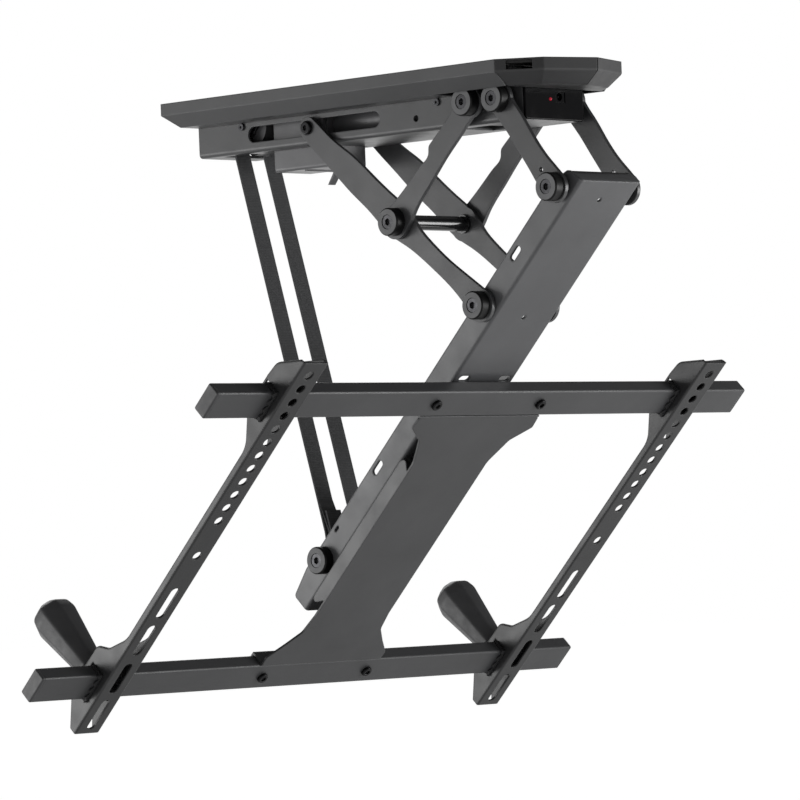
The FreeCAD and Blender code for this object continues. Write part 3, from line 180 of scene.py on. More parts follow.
# Shader building: noise scales are per metre, and radii and bump distances are in metres
class Tree:
    """The node tree of a new material or world, with short ways to add and join nodes."""

    def __init__(self, name, kind="materials"):
        self.owner = getattr(bpy.data, kind).new(name)
        self.owner.use_nodes = True
        self.tree = self.owner.node_tree
        self.tree.nodes.clear()
        self.coordinates = self.add("ShaderNodeTexCoord").outputs
        self.place = self.coordinates["Object"]

    def add(self, kind, inputs=None, **settings):
        """A new node with its settings, and with a value or a socket for each of its inputs."""
        made = self.tree.nodes.new(kind)
        for key, value in settings.items():
            setattr(made, key, value)
        for key, value in (inputs or {}).items():
            if isinstance(value, bpy.types.NodeSocket):
                self.tree.links.new(value, made.inputs[key])
            else:
                made.inputs[key].default_value = value
        return made

    def math(self, operation, a, b=0.0):
        """The result of one operation on one or two values."""
        return self.add("ShaderNodeMath", {0: a, 1: b}, operation=operation).outputs[0]

    def plus(self, value, other, share):
        """One value plus a share of another."""
        return self.math("ADD", value, self.math("MULTIPLY", other, share))

    def noise(self, scale, detail, rough=0.5, stretch=None):
        """Noise over the object's own coordinates, multiplied by stretch if it is given."""
        source = self.place
        if stretch:
            source = self.add("ShaderNodeMapping", {"Vector": source, "Scale": stretch}).outputs[0]
        inputs = {"Vector": source, "Scale": scale, "Detail": detail, "Roughness": rough}
        return self.add("ShaderNodeTexNoise", inputs).outputs["Fac"]

    def ribs(self, place, direction, scale):
        """Even ribs across a direction."""
        inputs = {"Vector": place, "Scale": scale}
        return self.add("ShaderNodeTexWave", inputs, bands_direction=direction).outputs["Fac"]

    def span(self, value, low, high, to_low=0.0, to_high=1.0, **settings):
        """A value stretched from one reach to another, and held inside it."""
        inputs = {
            "Value": value, "From Min": low, "From Max": high, "To Min": to_low, "To Max": to_high,
        }
        return self.add("ShaderNodeMapRange", inputs, **settings).outputs[0]

    def cloud(self, scale, detail, to_low=0.0, to_high=1.0):
        """Noise stretched from the reach it mostly keeps to."""
        return self.span(self.noise(scale, detail), NOISE_LOW, NOISE_HIGH, to_low, to_high)

    def mix(self, factor, first, second):
        """Two colours mixed by a factor."""
        inputs = {"Factor": factor, MIX_FIRST: first, MIX_SECOND: second}
        return self.add("ShaderNodeMix", inputs, data_type="RGBA").outputs[MIX_RESULT]

    def tones(self, factor, colour, dark, light):
        """A colour that changes from a dark tone to a light one with a factor."""
        return self.mix(factor, shade(colour, dark), shade(colour, light))

    def over(self, base, mask, strength, colour):
        """A colour laid over a base where a mask says, as strongly as given."""
        return self.mix(self.math("MULTIPLY", mask, strength), base, colour)

    def bump(self, height, distance, strength, normal=None):
        """A normal bent by a height, from another normal if one is given."""
        inputs = {"Height": height, "Distance": distance, "Strength": strength}
        if normal is not None:
            inputs["Normal"] = normal
        return self.add("ShaderNodeBump", inputs).outputs[0]

    def rounded(self, radius):
        """A normal that turns softly over edges, as if they had this radius."""
        return self.add("ShaderNodeBevel", {"Radius": radius}, samples=4).outputs[0]

    def edges(self, rounded):
        """1 on edges and 0 on flats, from how far a rounded normal leans."""
        flat = self.add("ShaderNodeNewGeometry").outputs["Normal"]
        lean = self.add("ShaderNodeVectorMath", {0: rounded, 1: flat}, operation="DOT_PRODUCT")
        return self.span(lean.outputs["Value"], EDGE_LEAN, FLAT_LEAN, 1.0, 0.0)

    def surface(self, base, rough, normal=None, **others):
        """Ends the tree in one principled shader and returns its material."""
        inputs = {"Base Color": base, "Roughness": rough}
        if normal is not None:
            inputs["Normal"] = normal
        for name, value in others.items():
            inputs[PRINCIPLED[name]] = value
        shader = self.add("ShaderNodeBsdfPrincipled", inputs).outputs[0]
        self.add("ShaderNodeOutputMaterial", {"Surface": shader})
        return self.owner


def shade(colour, factor):
    """A colour with its alpha, made lighter or darker by a factor."""
    return tuple(min(1.0, c * factor) for c in colour[:3]) + (1.0,)


def powder_coat(name, colour, radius, wear_and_highlight):
    """Satin powder coat: fine orange peel, faint clouding, and lighter edges that are partly rubbed
    wear and partly a painted highlight.
    """
    t = Tree(name)
    rounded = t.rounded(radius)
    worn_and_highlit = t.math("MULTIPLY", t.edges(rounded), t.span(t.noise(60, 4), 0.35, 0.7))
    speck = t.span(t.noise(2600, 1), 0.62, 0.74)
    base = t.tones(t.cloud(14, 4), colour, 0.9, 1.12)
    base = t.over(base, speck, 0.3, shade(colour, 1.8))
    # Lighter edges: partly rubbed wear, partly a painted highlight along the edges
    base = t.over(base, worn_and_highlit, wear_and_highlight, shade(colour, 2.8))
    rough = t.plus(t.cloud(38, 3, 0.32, 0.42), speck, 0.08)
    peel = t.plus(t.noise(700, 2), t.noise(2600, 1), 0.4)
    return t.surface(base, rough, t.bump(peel, 0.00006, 0.55, rounded), specular=0.55)


def moulded_plastic(name, colour, radius):
    """Spark-eroded black plastic with softened edges, which carry a painted highlight."""
    t = Tree(name)
    rounded = t.rounded(radius)
    base = t.tones(t.cloud(26, 3), colour, 0.88, 1.15)
    # Painted highlight: every edge is made lighter
    base = t.over(base, t.edges(rounded), 0.25, shade(colour, 2.4))
    cells = t.add("ShaderNodeTexVoronoi", {"Vector": t.place, "Scale": 1900.0}).outputs["Distance"]
    grain = t.math("ADD", cells, t.noise(1200, 2))
    rough = t.cloud(90, 2, 0.4, 0.52)
    return t.surface(base, rough, t.bump(grain, 0.00005, 0.5, rounded), specular=0.5)


def cap_plastic_painted_light(colour, radius):
    """Moulded cap: a lighter face over a far darker barrel, chosen by which way the surface points,
    which paints light on the face and shade on the barrel. The axis of every cap lies along X.
    """
    t = Tree("cap_plastic_painted_light")
    normal = t.add("ShaderNodeNewGeometry").outputs["Normal"]
    lean = t.math("ABSOLUTE", t.add("ShaderNodeSeparateXYZ", {"Vector": normal}).outputs["X"])
    base = t.tones(t.cloud(60, 3), colour, 0.88, 1.12)
    # Painted light and shade: faces along X keep the lighter colour, the barrel gets a far darker
    # one
    base = t.mix(t.span(lean, 0.75, 0.95), shade(colour, 0.05), base)
    bumped = t.bump(t.noise(1200, 2), 0.00005, 0.5, t.rounded(radius))
    return t.surface(base, t.cloud(90, 2, 0.36, 0.48), bumped, specular=0.2)


def gloss_plastic(colour):
    """Polished plastic with a faint haze of handling."""
    t = Tree("gloss_plastic")
    dust = t.span(t.noise(1500, 1), 0.7, 0.78)
    base = t.over(shade(colour, 1.0), dust, 0.15, shade(colour, 8.0))
    rough = t.span(t.noise(45, 5, 0.6), 0.45, 0.75, 0.07, 0.2)
    normal = t.bump(t.noise(30, 2), 0.00008, 0.25, t.rounded(0.0006))
    return t.surface(base, rough, normal, specular=0.06)


def black_oxide(name, colour, radius):
    """Oiled black steel: turned rings read as a fine grain, edges show bare metal."""
    t = Tree(name)
    rounded = t.rounded(radius)
    bare = t.math("MULTIPLY", t.edges(rounded), t.span(t.noise(220, 3), 0.4, 0.65))
    base = t.tones(t.cloud(120, 4), colour, 0.75, 1.3)
    base = t.over(base, bare, 0.6, BARE_STEEL)
    grain = t.noise(420, 3, stretch=(0.08, 1, 1))
    rough = t.cloud(300, 3, 0.24, 0.38)
    return t.surface(base, rough, t.bump(grain, 0.00004, 0.45, rounded), metallic=0.85)


def ground_steel(colour):
    """Ground shaft steel with grinding lines round the axis."""
    t = Tree("ground_steel")
    lines = t.noise(900, 3, stretch=(1, 0.06, 0.06))
    base = t.tones(t.noise(60, 3), colour, 0.8, 1.1)
    rough = t.span(lines, NOISE_LOW, NOISE_HIGH, 0.16, 0.3)
    return t.surface(base, rough, t.bump(lines, 0.00003, 0.4), metallic=1.0)


def shaft_gloss(colour):
    """Black gloss lacquer of the cross shaft."""
    t = Tree("shaft_gloss")
    base = t.tones(t.span(t.noise(70, 3), 0.35, 0.7), colour, 0.8, 1.3)
    normal = t.bump(t.noise(420, 2), 0.00004, 0.3, t.rounded(0.0006))
    return t.surface(base, t.cloud(160, 3, 0.1, 0.2), normal, coat=0.15)


def nylon(colour):
    """Moulded nylon with a waxy skin."""
    t = Tree("nylon")
    base = t.tones(t.cloud(80, 3), colour, 0.85, 1.2)
    normal = t.bump(t.noise(900, 2), 0.00004, 0.4, t.rounded(0.0005))
    return t.surface(base, t.cloud(210, 2, 0.45, 0.6), normal)


def rubber(colour):
    """Matt rubber with a dusty bloom."""
    t = Tree("rubber")
    bloom = t.span(t.noise(130, 4), 0.45, 0.75)
    base = t.over(shade(colour, 1.0), bloom, 0.4, shade(colour, 2.0))
    normal = t.bump(t.noise(1400, 2), 0.00006, 0.5, t.rounded(0.0006))
    return t.surface(base, t.span(bloom, 0.0, 1.0, 0.66, 0.85), normal)


def webbing(name, colour, warp, weft, on_uv):
    """Woven strap: warp and weft ribs, each as (direction, scale), with the gaps between yarns
    painted darker as shade and the yarns' crowns painted lighter.
    """
    t = Tree(name)
    place = t.add("ShaderNodeUVMap").outputs[0] if on_uv else t.place
    crossing = t.math("ADD", t.math("MULTIPLY", t.ribs(place, *weft), 0.6), 0.4)
    weave_height_and_shade = t.math("MULTIPLY", t.ribs(place, *warp), crossing)
    fuzz = t.noise(1800, 3)
    # Painted shade and light: the weave darkens the gaps between yarns and lightens their crowns
    base = t.tones(t.plus(t.math("MULTIPLY", weave_height_and_shade, 0.75), fuzz, 0.3), colour, 0.45, 1.7)
    rough = t.span(fuzz, 0.2, 0.8, 0.7, 0.9)
    return t.surface(base, rough, t.bump(t.plus(weave_height_and_shade, fuzz, 0.4), 0.0003, 0.8), sheen=0.25)


def motor_paint(colour):
    """Thin machine paint on the gearbox and motor, with a painted highlight on its edges."""
    t = Tree("motor_paint")
    rounded = t.rounded(0.0012)
    base = t.tones(t.cloud(20, 4), colour, 0.85, 1.15)
    # Painted highlight: every edge is made lighter
    base = t.over(base, t.edges(rounded), 0.3, shade(colour, 2.2))
    normal = t.bump(t.noise(500, 2), 0.00006, 0.4, rounded)
    return t.surface(base, t.cloud(60, 3, 0.3, 0.42), normal)


def circuit_board(colour):
    """Lacquered board with faint tracks."""
    t = Tree("circuit_board")
    bricks = {"Vector": t.place, "Scale": 160.0, "Mortar Size": 0.03}
    tracks = t.add("ShaderNodeTexBrick", bricks).outputs["Fac"]
    base = t.over(shade(colour, 1.0), tracks, 0.6, shade(colour, 1.9))
    base = t.mix(t.span(t.noise(50, 3), 0.4, 0.7), base, shade(colour, 0.7))
    return t.surface(base, t.cloud(90, 2, 0.25, 0.4))


def lamp_lens(colour, strength):
    """Glowing lens with a soft mottle."""
    t = Tree("lamp_lens")
    base = t.tones(t.span(t.noise(900, 2), 0.2, 0.8, 0.7, 1.0), colour, 0.6, 1.0)
    return t.surface(base, 0.2, glow=base, glow_strength=strength)


def paint(names, material):
    """Gives CAD nodes a material in place of their own."""
    for name in names:
        node = frame["nodes"][name]
        node.data.materials.clear()
        node.data.materials.append(material)


# Mesh building
def new_object(name, data):
    """A new object of the scene for a mesh, a lamp or a camera."""
    made = bpy.data.objects.new(name, data)
    bpy.context.scene.collection.objects.link(made)
    return made


def new_mesh(name, form):
    """A mesh made from a bmesh, which is freed."""
    mesh = bpy.data.meshes.new(name)
    form.to_mesh(mesh)
    form.free()
    return mesh


def new_piece(name, form, material, body, smooth_deg):
    """Finishes a bmesh as a piece of the scene that rides on a body, if one is given."""
    bmesh.ops.recalc_face_normals(form, faces=form.faces)
    mesh = new_mesh(name, form)
    piece = new_object(name, mesh)
    mesh.materials.append(material)
    mesh.shade_smooth()
    mesh.set_sharp_from_angle(angle=math.radians(smooth_deg))
    if body:
        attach(piece, body)
    return piece


def of_kind(made, kind):
    """The vertices, edges or faces among what an extrusion made."""
    return [g for g in made["geom"] if isinstance(g, kind)]


def bevel(form, edges, offset, segments):
    """Rounds edges of a bmesh."""
    bmesh.ops.bevel(form, geom=edges, offset=offset, offset_type="OFFSET", segments=segments,
                    profile=0.5, material=-1, affect="EDGES", clamp_overlap=True)


def joint_vector(name, key):
    """A joint's direction, "axis", or a place on it, "pos_m"."""
    joint = next(j for j in frame["joints"] if j["name"] == name)
    return Vector(joint[key])


def settings():
    """The values that the panel shows."""
    return bpy.context.scene.mount_dressing


class MountDressing(bpy.types.PropertyGroup):
    """Colours and small sizes of the ceiling mount."""

    coat_colour: FloatVectorProperty(
        name="Coat colour", description="Colour of the powder coat", subtype="COLOR", size=3,
        min=0, max=1, default=(0.070, 0.071, 0.074))
    plastic_colour: FloatVectorProperty(
        name="Plastic colour", description="Colour of the knobs and end covers", subtype="COLOR",
        size=3, min=0, max=1, default=(0.048, 0.048, 0.050))
    cap_colour: FloatVectorProperty(
        name="Cap colour", description="Colour of the pins' moulded caps", subtype="COLOR", size=3,
        min=0, max=1, default=(0.145, 0.146, 0.149))
    steel_colour: FloatVectorProperty(
        name="Steel colour", description="Colour of the blackened bolts", subtype="COLOR", size=3,
        min=0, max=1, default=(0.05, 0.05, 0.053))
    webbing_colour: FloatVectorProperty(
        name="Webbing colour", description="Colour of the lifting straps", subtype="COLOR", size=3,
        min=0, max=1, default=(0.038, 0.039, 0.041))
    lamp_colour: FloatVectorProperty(
        name="Lamp colour", description="Colour of the status lamp", subtype="COLOR", size=3,
        min=0, max=1, default=(0.42, 0.01, 0.03))
    lamp_strength: FloatProperty(
        name="Lamp strength", description="How strongly the status lamp glows", default=0.3,
        min=0.0)
    edge_rounding: FloatProperty(
        name="Edge rounding", description="How strongly the coated edges are rounded", default=1.0,
        min=0.0)
    knob_rounding: FloatProperty(
        name="Knob rounding", description="Rounding of the knobs' edges", default=0.0022,
        subtype="DISTANCE", unit="LENGTH")
    crimp_step: FloatProperty(
        name="Crimp step", description="Length between cuts of the crimped liners", default=0.0014,
        subtype="DISTANCE", unit="LENGTH")
    crimp_depth: FloatProperty(
        name="Crimp depth", description="How far the liners wave to each side", default=0.0014,
        subtype="DISTANCE", unit="LENGTH")
    crimp_spread: FloatProperty(
        name="Crimp spread", description="How much wider the crimping makes the liners",
        default=1.5, min=1.0)
    strap_width: FloatProperty(
        name="Strap width", description="Width of the webbing", default=0.019,
        subtype="DISTANCE", unit="LENGTH")
    strap_thickness: FloatProperty(
        name="Strap thickness", description="Thickness of the webbing", default=0.0018,
        subtype="DISTANCE", unit="LENGTH")
    floor_drop: FloatProperty(
        name="Floor drop", description="Height of the floor below the ceiling plate", default=1.1,
        subtype="DISTANCE", unit="LENGTH")
    floor_level: FloatProperty(
        name="Floor level", description="How much light the white floor gives under the mount",
        default=0.2, min=0.0)
    floor_seen: FloatProperty(
        name="Floor seen", description="Glow of the floor in the picture, under its lit colour",
        default=0.9, min=0.0)
    overhead_level: FloatProperty(
        name="Overhead level", description="Light from the studio's dark upper half", default=0.1,
        min=0.0)


class MOUNT_OT_coated_steel(bpy.types.Operator):
    """Gives the folded sheet, the arms and the rails their powder coat"""

    bl_idname = "mount.coated_steel"
    bl_label = "Coated steel"

    def execute(self, context):
        s = settings()
        for name, (painted_light_tone, radius, wear_and_highlight, nodes) in COATED.items():
            # The tone paints light and shade: the same coat is made lighter on some parts and
            # darker on others
            colour = shade(s.coat_colour, painted_light_tone)
            paint(nodes, powder_coat(name, colour, radius * s.edge_rounding, wear_and_highlight))
        return {"FINISHED"}


class MOUNT_OT_plastics(bpy.types.Operator):
    """Finishes the moulded covers, caps, spools, rollers and bushes"""

    bl_idname = "mount.plastics"
    bl_label = "Plastics"

    def execute(self, context):
        s = settings()
        cover_colour = shade(s.plastic_colour, 0.5)
        paint(MOULDED, moulded_plastic("moulded_plastic", s.plastic_colour, MOULDED_EDGE))
        paint(END_COVERS, moulded_plastic("cover_plastic", cover_colour, COVER_EDGE))
        paint(PIN_CAPS, cap_plastic_painted_light(s.cap_colour, CAP_EDGE))
        paint(["control_face", "power_socket"], gloss_plastic(GLOSS_BLACK))
        paint(NYLON, nylon(NYLON_BLACK))
        return {"FINISHED"}


class MOUNT_OT_hardware(bpy.types.Operator):
    """Finishes the screws, pins, bearings and shafts"""

    bl_idname = "mount.hardware"
    bl_label = "Hardware"

    def execute(self, context):
        s = settings()
        paint(OXIDE, black_oxide("black_oxide", s.steel_colour, STEEL_EDGE))
        paint(SCREW_HEADS, black_oxide("screw_black", shade(s.steel_colour, 0.3), STEEL_EDGE))
        paint(["spool_shaft", "strap_axle"], ground_steel(SHAFT_STEEL))
        paint(["cross_shaft"], shaft_gloss(SHAFT_BLACK))
        return {"FINISHED"}


class MOUNT_OT_drive(bpy.types.Operator):
    """Finishes the gearbox, motor, board, lamp and wound strap"""

    bl_idname = "mount.drive"
    bl_label = "Drive"

    def execute(self, context):
        s = settings()
        paint(["gearbox", "motor"], motor_paint(MOTOR_GREY))
        paint(["control_board"], circuit_board(BOARD_GREEN))
        paint(["status_lamp"], lamp_lens(s.lamp_colour, s.lamp_strength))
        wound = webbing("webbing_wound", s.webbing_colour, ("X", 260.0), ("Z", 190.0),
                        on_uv=False)
        paint(["strap_feeds"], wound)
        return {"FINISHED"}


class MOUNT_OT_knobs(bpy.types.Operator):
    """Models the eight-sided clamp knobs with their studs"""

    bl_idname = "mount.knobs"
    bl_label = "Clamp knobs"

    def execute(self, context):
        s = settings()
        material = moulded_plastic("knob_plastic", s.plastic_colour, MOULDED_EDGE)
        for word in SIDES:
            knob = new_piece("clamp_knob_" + word, self.form(s, word), material,
                             "knob_" + word[0], smooth_deg=30.0)
            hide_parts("knob_" + word)
        return {"FINISHED"}

    def form(self, s, word):
        """A flared grip lofted through its rings, and its stud, both on the knob's axis."""
        form = bmesh.new()
        height, radius = GRIP_RINGS[0]
        half_turn = math.pi / GRIP_SIDES
        made = bmesh.ops.create_circle(form, cap_ends=True, segments=GRIP_SIDES,
                                       radius=radius / math.cos(half_turn),
                                       matrix=Matrix.Rotation(half_turn, 4, "Z"))
        top = made["verts"][0].link_faces[0]
        for next_height, next_radius in GRIP_RINGS[1:]:
            lifted = bmesh.ops.extrude_face_region(form, geom=[top])
            if height > 0:  # the first ring stays as the grip's end; the next ones lie inside it
                bmesh.ops.delete(form, geom=[top], context="FACES_ONLY")
            top = of_kind(lifted, bmesh.types.BMFace)[0]
            grow = next_radius / radius
            bmesh.ops.translate(form, vec=(0, 0, next_height - height), verts=top.verts)
            bmesh.ops.scale(form, vec=(grow, grow, 1), verts=top.verts)
            height, radius = next_height, next_radius
        bevel(form, form.edges[:], offset=s.knob_rounding, segments=4)
        stud = bmesh.ops.create_cone(form, cap_ends=True, segments=32, radius1=STUD_RADIUS,
                                     radius2=STUD_RADIUS, depth=STUD_LENGTH)
        bmesh.ops.translate(form, vec=(0, 0, STUD_MIDDLE), verts=stud["verts"])
        axis, place = (joint_vector("knob_turn_" + word, key) for key in ("axis", "pos_m"))
        cad_knob = frame["nodes"]["knob_" + word].data
        far = max((v.co - place).dot(axis) for v in cad_knob.vertices)
        start = Matrix.Translation(place + axis * (far - GRIP_LENGTH))
        turn = Vector((0, 0, 1)).rotation_difference(axis).to_matrix().to_4x4()
        bmesh.ops.transform(form, matrix=start @ turn, verts=form.verts)
        return form


class MOUNT_OT_liners(bpy.types.Operator):
    """Crimps the rubber clips between the brackets and the rails"""

    bl_idname = "mount.liners"
    bl_label = "Crimped liners"

    def execute(self, context):
        s = settings()
        material = rubber(CLIP_BLACK)
        for word in SIDES:
            form = self.form(s, frame["nodes"]["liners_" + word].data)
            clip = new_piece("crimped_liner_" + word, form, material, "bracket_" + word[0],
                             smooth_deg=50.0)
            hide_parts("liners_" + word)
        return {"FINISHED"}

    def form(self, s, mesh):
        """The plain clips cut into short lengths, which then wave from side to side."""
        form = bmesh.new()
        form.from_mesh(mesh)
        bmesh.ops.remove_doubles(form, verts=form.verts, dist=MERGE_REACH)
        bmesh.ops.dissolve_limit(form, angle_limit=FLAT_ANGLE, verts=form.verts, edges=form.edges)
        for way in (CARRIER_UP, CARRIER_BACK):
            reach = [v.co.dot(way) for v in form.verts]
            steps = int((max(reach) - min(reach)) / s.crimp_step)
            for i in range(1, steps):
                everything = form.verts[:] + form.edges[:] + form.faces[:]
                bmesh.ops.bisect_plane(form, geom=everything, plane_no=way,
                                       plane_co=way * (min(reach) + i * s.crimp_step))
        bmesh.ops.recalc_face_normals(form, faces=form.faces)
        for vert in form.verts:
            vert.co -= vert.normal * RAIL_GAP
        reach = [v.co.x for v in form.verts]
        low, high = min(reach), max(reach)
        for vert in form.verts:
            centre = high - STRIP_HALF if vert.co.x > (low + high) / 2 else low + STRIP_HALF
            along = vert.co.dot(CARRIER_UP) + vert.co.dot(CARRIER_BACK)
            wave = s.crimp_depth * math.sin(along / s.crimp_step)
            vert.co.x = centre + (vert.co.x - centre) * s.crimp_spread + wave
        return form


class MOUNT_OT_linings(bpy.types.Operator):
    """Closes the nose over its cable window and plugs the tooling holes"""

    bl_idname = "mount.linings"
    bl_label = "Linings"

    def execute(self, context):
        black = rubber(LINING_BLACK)
        for name, form in (("nose_lining", self.lining()), ("tooling_plugs", self.plugs())):
            new_piece(name, form, black, "base", smooth_deg=30.0)
        return {"FINISHED"}

    def lining(self):
        """A thin roof inside the nose, cut back from its five walls."""
        low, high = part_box("end_cover_left")
        wide, start, tip = high.x, low.y, high.y
        shoulder, slope = 0.053, 0.018
        share_x, share_y, inset = 0.96, 0.94, 0.001
        bottom, thickness = -0.0042, 0.0038
        outline = (
            (-wide, start), (wide, start), (shoulder, tip - slope), (0, tip),
            (-shoulder, tip - slope),
        )
        form = bmesh.new()
        corners = [form.verts.new((x * share_x, start + inset + (y - start) * share_y, bottom))
                   for x, y in outline]
        roof = form.faces.new(corners)
        raised = bmesh.ops.extrude_face_region(form, geom=[roof])
        verts = of_kind(raised, bmesh.types.BMVert)
        bmesh.ops.translate(form, vec=(0, 0, thickness), verts=verts)
        bevel(form, form.edges[:], offset=0.0003, segments=2)
        return form

    def plugs(self):
        """Six-sided plugs behind the holes in the base channel's two sides."""
        radius, depth = 0.0055, 0.003
        x, y, z = 0.0352, 0.0802, -0.0394
        form = bmesh.new()
        for side in SIDES.values():
            place = Matrix.Translation((side * x, y, z)) @ Matrix.Rotation(math.pi / 2, 4, "Y")
            made = bmesh.ops.create_cone(form, cap_ends=True, segments=6, radius1=radius,
                                         radius2=radius, depth=depth, matrix=place)
            edges = dict.fromkeys(e for v in made["verts"] for e in v.link_edges)
            bevel(form, list(edges), offset=0.0004, segments=2)
        return form


class MOUNT_OT_straps(bpy.types.Operator):
    """Models the sewn webbing between the carrier's axle and the guide rollers"""

    bl_idname = "mount.straps"
    bl_label = "Lifting straps"

    def execute(self, context):
        s = settings()
        material = webbing("webbing_sewn", s.webbing_colour, ("Y", 310.0), ("X", 190.0),
                           on_uv=True)
        pin = joint_vector("strap_swing", "pos_m")
        along = joint_vector("strap_draw", "axis").normalized()
        far = max((v.co - pin).dot(along) for v in frame["nodes"]["strap_tails"].data.vertices)
        for word in SIDES:
            low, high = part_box("strap_" + word)
            form = self.form(s, pin, along, far, (low.x + high.x) / 2)
            strap = new_piece("strap_webbing_" + word, form, material, None,
                              smooth_deg=60.0)
            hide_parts("strap_" + word, "strap_tails")
            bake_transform(strap)
        return {"FINISHED"}

    def form(self, s, pin, along, far, middle):
        """One band: a sewn end, a turn round the sleeve and the free run."""
        half = s.strap_width / 2
        form = bmesh.new()
        uv = form.loops.layers.uv.new("UVMap")
        seam, *path = self.path(pin, along, far, s.strap_thickness)
        verts = [form.verts.new((x, seam.y, seam.z)) for x in (middle - half, middle + half)]
        edge = form.edges.new(verts)
        walked, before = 0.0, seam
        lengths = dict.fromkeys(verts, walked)
        for place in path:
            made = bmesh.ops.extrude_edge_only(form, edges=[edge])
            verts = of_kind(made, bmesh.types.BMVert)
            edge = next(e for e in of_kind(made, bmesh.types.BMEdge)
                        if e.verts[0] in verts and e.verts[1] in verts)
            walked += (place - before).length
            before = place
            for vert in verts:
                vert.co.y, vert.co.z = place.y, place.z
                lengths[vert] = walked
        for face in form.faces:
            for corner in face.loops:
                corner[uv].uv = (lengths[corner.vert], corner.vert.co.x - middle + half)
        bmesh.ops.solidify(form, geom=form.faces[:], thickness=s.strap_thickness)
        return form

    def path(self, pin, along, far, thickness):
        """Places along the band: its sewn end, down to the sleeve, round it and to the roller."""
        loop = SLEEVE_RADIUS + thickness / 2
        across = Vector((0, -along.z, along.y))
        places = [pin + along * reach - across * (loop * share) for reach, share in SEWN_END]
        start = math.atan2(-across.z, -across.y)
        for i in range(TURN_STEPS + 1):
            angle = start + math.pi * i / TURN_STEPS
            places.append(pin + Vector((0, math.cos(angle), math.sin(angle))) * loop)
        reach, share = SEAM_MEETS_RUN
        places.append(pin + along * reach + across * (thickness * share))
        for i in range(1, RUN_STEPS + 1):
            places.append(pin + along * (RUN_START + (far - RUN_START) * i / RUN_STEPS))
        return places


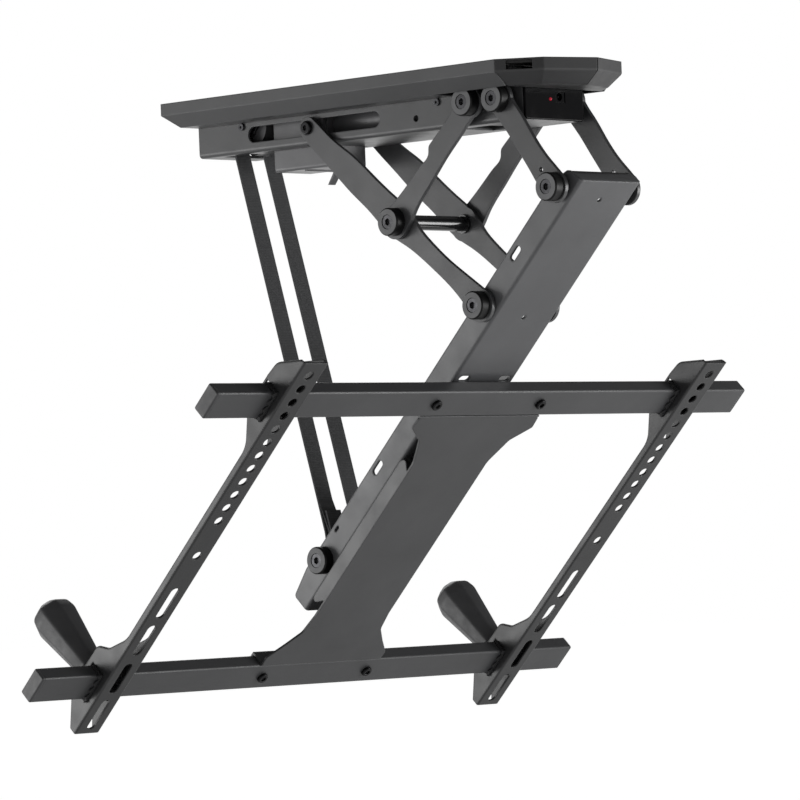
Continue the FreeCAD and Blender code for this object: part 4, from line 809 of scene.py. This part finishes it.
class MOUNT_OT_studio(bpy.types.Operator):
    """Builds the floor, the soft lights, the white surround and the camera"""

    bl_idname = "mount.studio"
    bl_label = "Studio"

    def execute(self, context):
        s = settings()
        self.floor(s)
        self.world(s)
        for name, (place, target, size, watts) in LAMPS.items():
            self.lamp(name, Vector(place), Vector(target), size, watts)
        self.camera()
        return {"FINISHED"}

    def floor(self, s):
        """A white floor that lights the mount from below, less so right under it."""
        form = bmesh.new()
        bmesh.ops.create_grid(form, x_segments=1, y_segments=1, size=FLOOR_HALF)
        bmesh.ops.translate(form, vec=(0, 0, -s.floor_drop), verts=form.verts)
        mesh = new_mesh("studio_floor", form)
        floor = new_object("studio_floor", mesh)
        t = Tree("floor_white")
        seen = t.add("ShaderNodeLightPath").outputs["Is Camera Ray"]
        white = t.mix(seen, FLOOR_GIVEN, FLOOR_SHOWN)
        diffuse = t.add("ShaderNodeBsdfDiffuse", {"Color": white}).outputs[0]
        away = t.add("ShaderNodeVectorMath", {0: t.place}, operation="LENGTH").outputs["Value"]
        lit = t.span(away, GLOW_NEAR, GLOW_FAR, s.floor_level, GLOW_FULL)
        level = t.add("ShaderNodeMix", {"Factor": seen, "A": lit, "B": s.floor_seen})
        glow = t.add("ShaderNodeEmission", {"Strength": level.outputs["Result"]}).outputs[0]
        both = t.add("ShaderNodeAddShader", {0: diffuse, 1: glow}).outputs[0]
        t.add("ShaderNodeOutputMaterial", {"Surface": both})
        t.owner.cycles.emission_sampling = "NONE"
        mesh.materials.append(t.owner)

    def world(self, s):
        """White round the horizon and dark overhead; the camera sees white everywhere."""
        t = Tree("studio_white", "worlds")
        bpy.context.scene.world = t.owner
        direction = t.coordinates["Generated"]
        height = t.add("ShaderNodeSeparateXYZ", {"Vector": direction}).outputs["Z"]
        fall = t.span(height, FALL_FROM, FALL_TO, HORIZON_LEVEL, s.overhead_level,
                      interpolation_type="SMOOTHSTEP")
        inputs = {0: direction, 1: DIM_SIDE}
        toward = t.add("ShaderNodeVectorMath", inputs, operation="DOT_PRODUCT").outputs["Value"]
        dim = t.span(toward, DIM_FROM, DIM_TO, 1.0, DIMMED_LEVEL)
        seen = t.add("ShaderNodeLightPath").outputs["Is Camera Ray"]
        level = t.math("MAXIMUM", t.math("MULTIPLY", fall, dim), seen)
        sky = t.add("ShaderNodeBackground", {"Color": (1, 1, 1, 1), "Strength": level}).outputs[0]
        t.add("ShaderNodeOutputWorld", {"Surface": sky})

    def lamp(self, name, place, target, size, watts):
        """A square area lamp that the camera doesn't see."""
        data = bpy.data.lights.new(name, "AREA")
        data.shape, data.size, data.energy = "SQUARE", size, watts
        lamp = new_object(name, data)
        lamp.location = place
        lamp.rotation_mode = "QUATERNION"
        lamp.rotation_quaternion = (target - place).to_track_quat("-Z", "Y")
        lamp.visible_camera = False

    def camera(self):
        """A long lens from the control end's corner, level with the middle of the mount."""
        data = bpy.data.cameras.new("view")
        data.lens, data.sensor_width = LENS, SENSOR
        data.clip_start, data.clip_end = 0.1, 100.0
        yaw, pitch, roll = (math.radians(a) for a in CAMERA_TURN)
        back = Vector((math.sin(yaw) * math.cos(pitch), math.cos(yaw) * math.cos(pitch),
                       math.sin(pitch)))
        level = Vector((-math.cos(yaw), math.sin(yaw), 0))
        upright = back.cross(level)
        right = level * math.cos(roll) + upright * math.sin(roll)
        up = upright * math.cos(roll) - level * math.sin(roll)
        turn = Matrix((right, up, back)).transposed().to_4x4()
        camera = new_object("view", data)
        camera.matrix_world = Matrix.Translation(CAMERA_PLACE) @ turn
        bpy.context.scene.camera = camera
        bpy.context.scene.view_settings.view_transform = "Standard"


class MOUNT_PT_dressing(bpy.types.Panel):
    """The mount's operators and settings"""

    bl_label = "Ceiling mount"
    bl_idname = "MOUNT_PT_dressing"
    bl_space_type = "VIEW_3D"
    bl_region_type = "UI"
    bl_category = "Mount"

    def draw(self, context):
        for name in MountDressing.__annotations__:
            self.layout.prop(context.scene.mount_dressing, name)
        for operator in OPERATORS:
            self.layout.operator(operator.bl_idname)


OPERATORS = (
    MOUNT_OT_coated_steel,
    MOUNT_OT_plastics,
    MOUNT_OT_hardware,
    MOUNT_OT_drive,
    MOUNT_OT_knobs,
    MOUNT_OT_liners,
    MOUNT_OT_linings,
    MOUNT_OT_straps,
    MOUNT_OT_studio,
)


def register():
    for part in (MountDressing,) + OPERATORS + (MOUNT_PT_dressing,):
        bpy.utils.register_class(part)
    bpy.types.Scene.mount_dressing = PointerProperty(type=MountDressing)


def unregister():
    del bpy.types.Scene.mount_dressing
    for part in reversed((MountDressing,) + OPERATORS + (MOUNT_PT_dressing,)):
        bpy.utils.unregister_class(part)


def main():
    register()
    for operator in OPERATORS:
        group, name = operator.bl_idname.split(".")
        getattr(getattr(bpy.ops, group), name)()


if __name__ == "__main__":
    main()
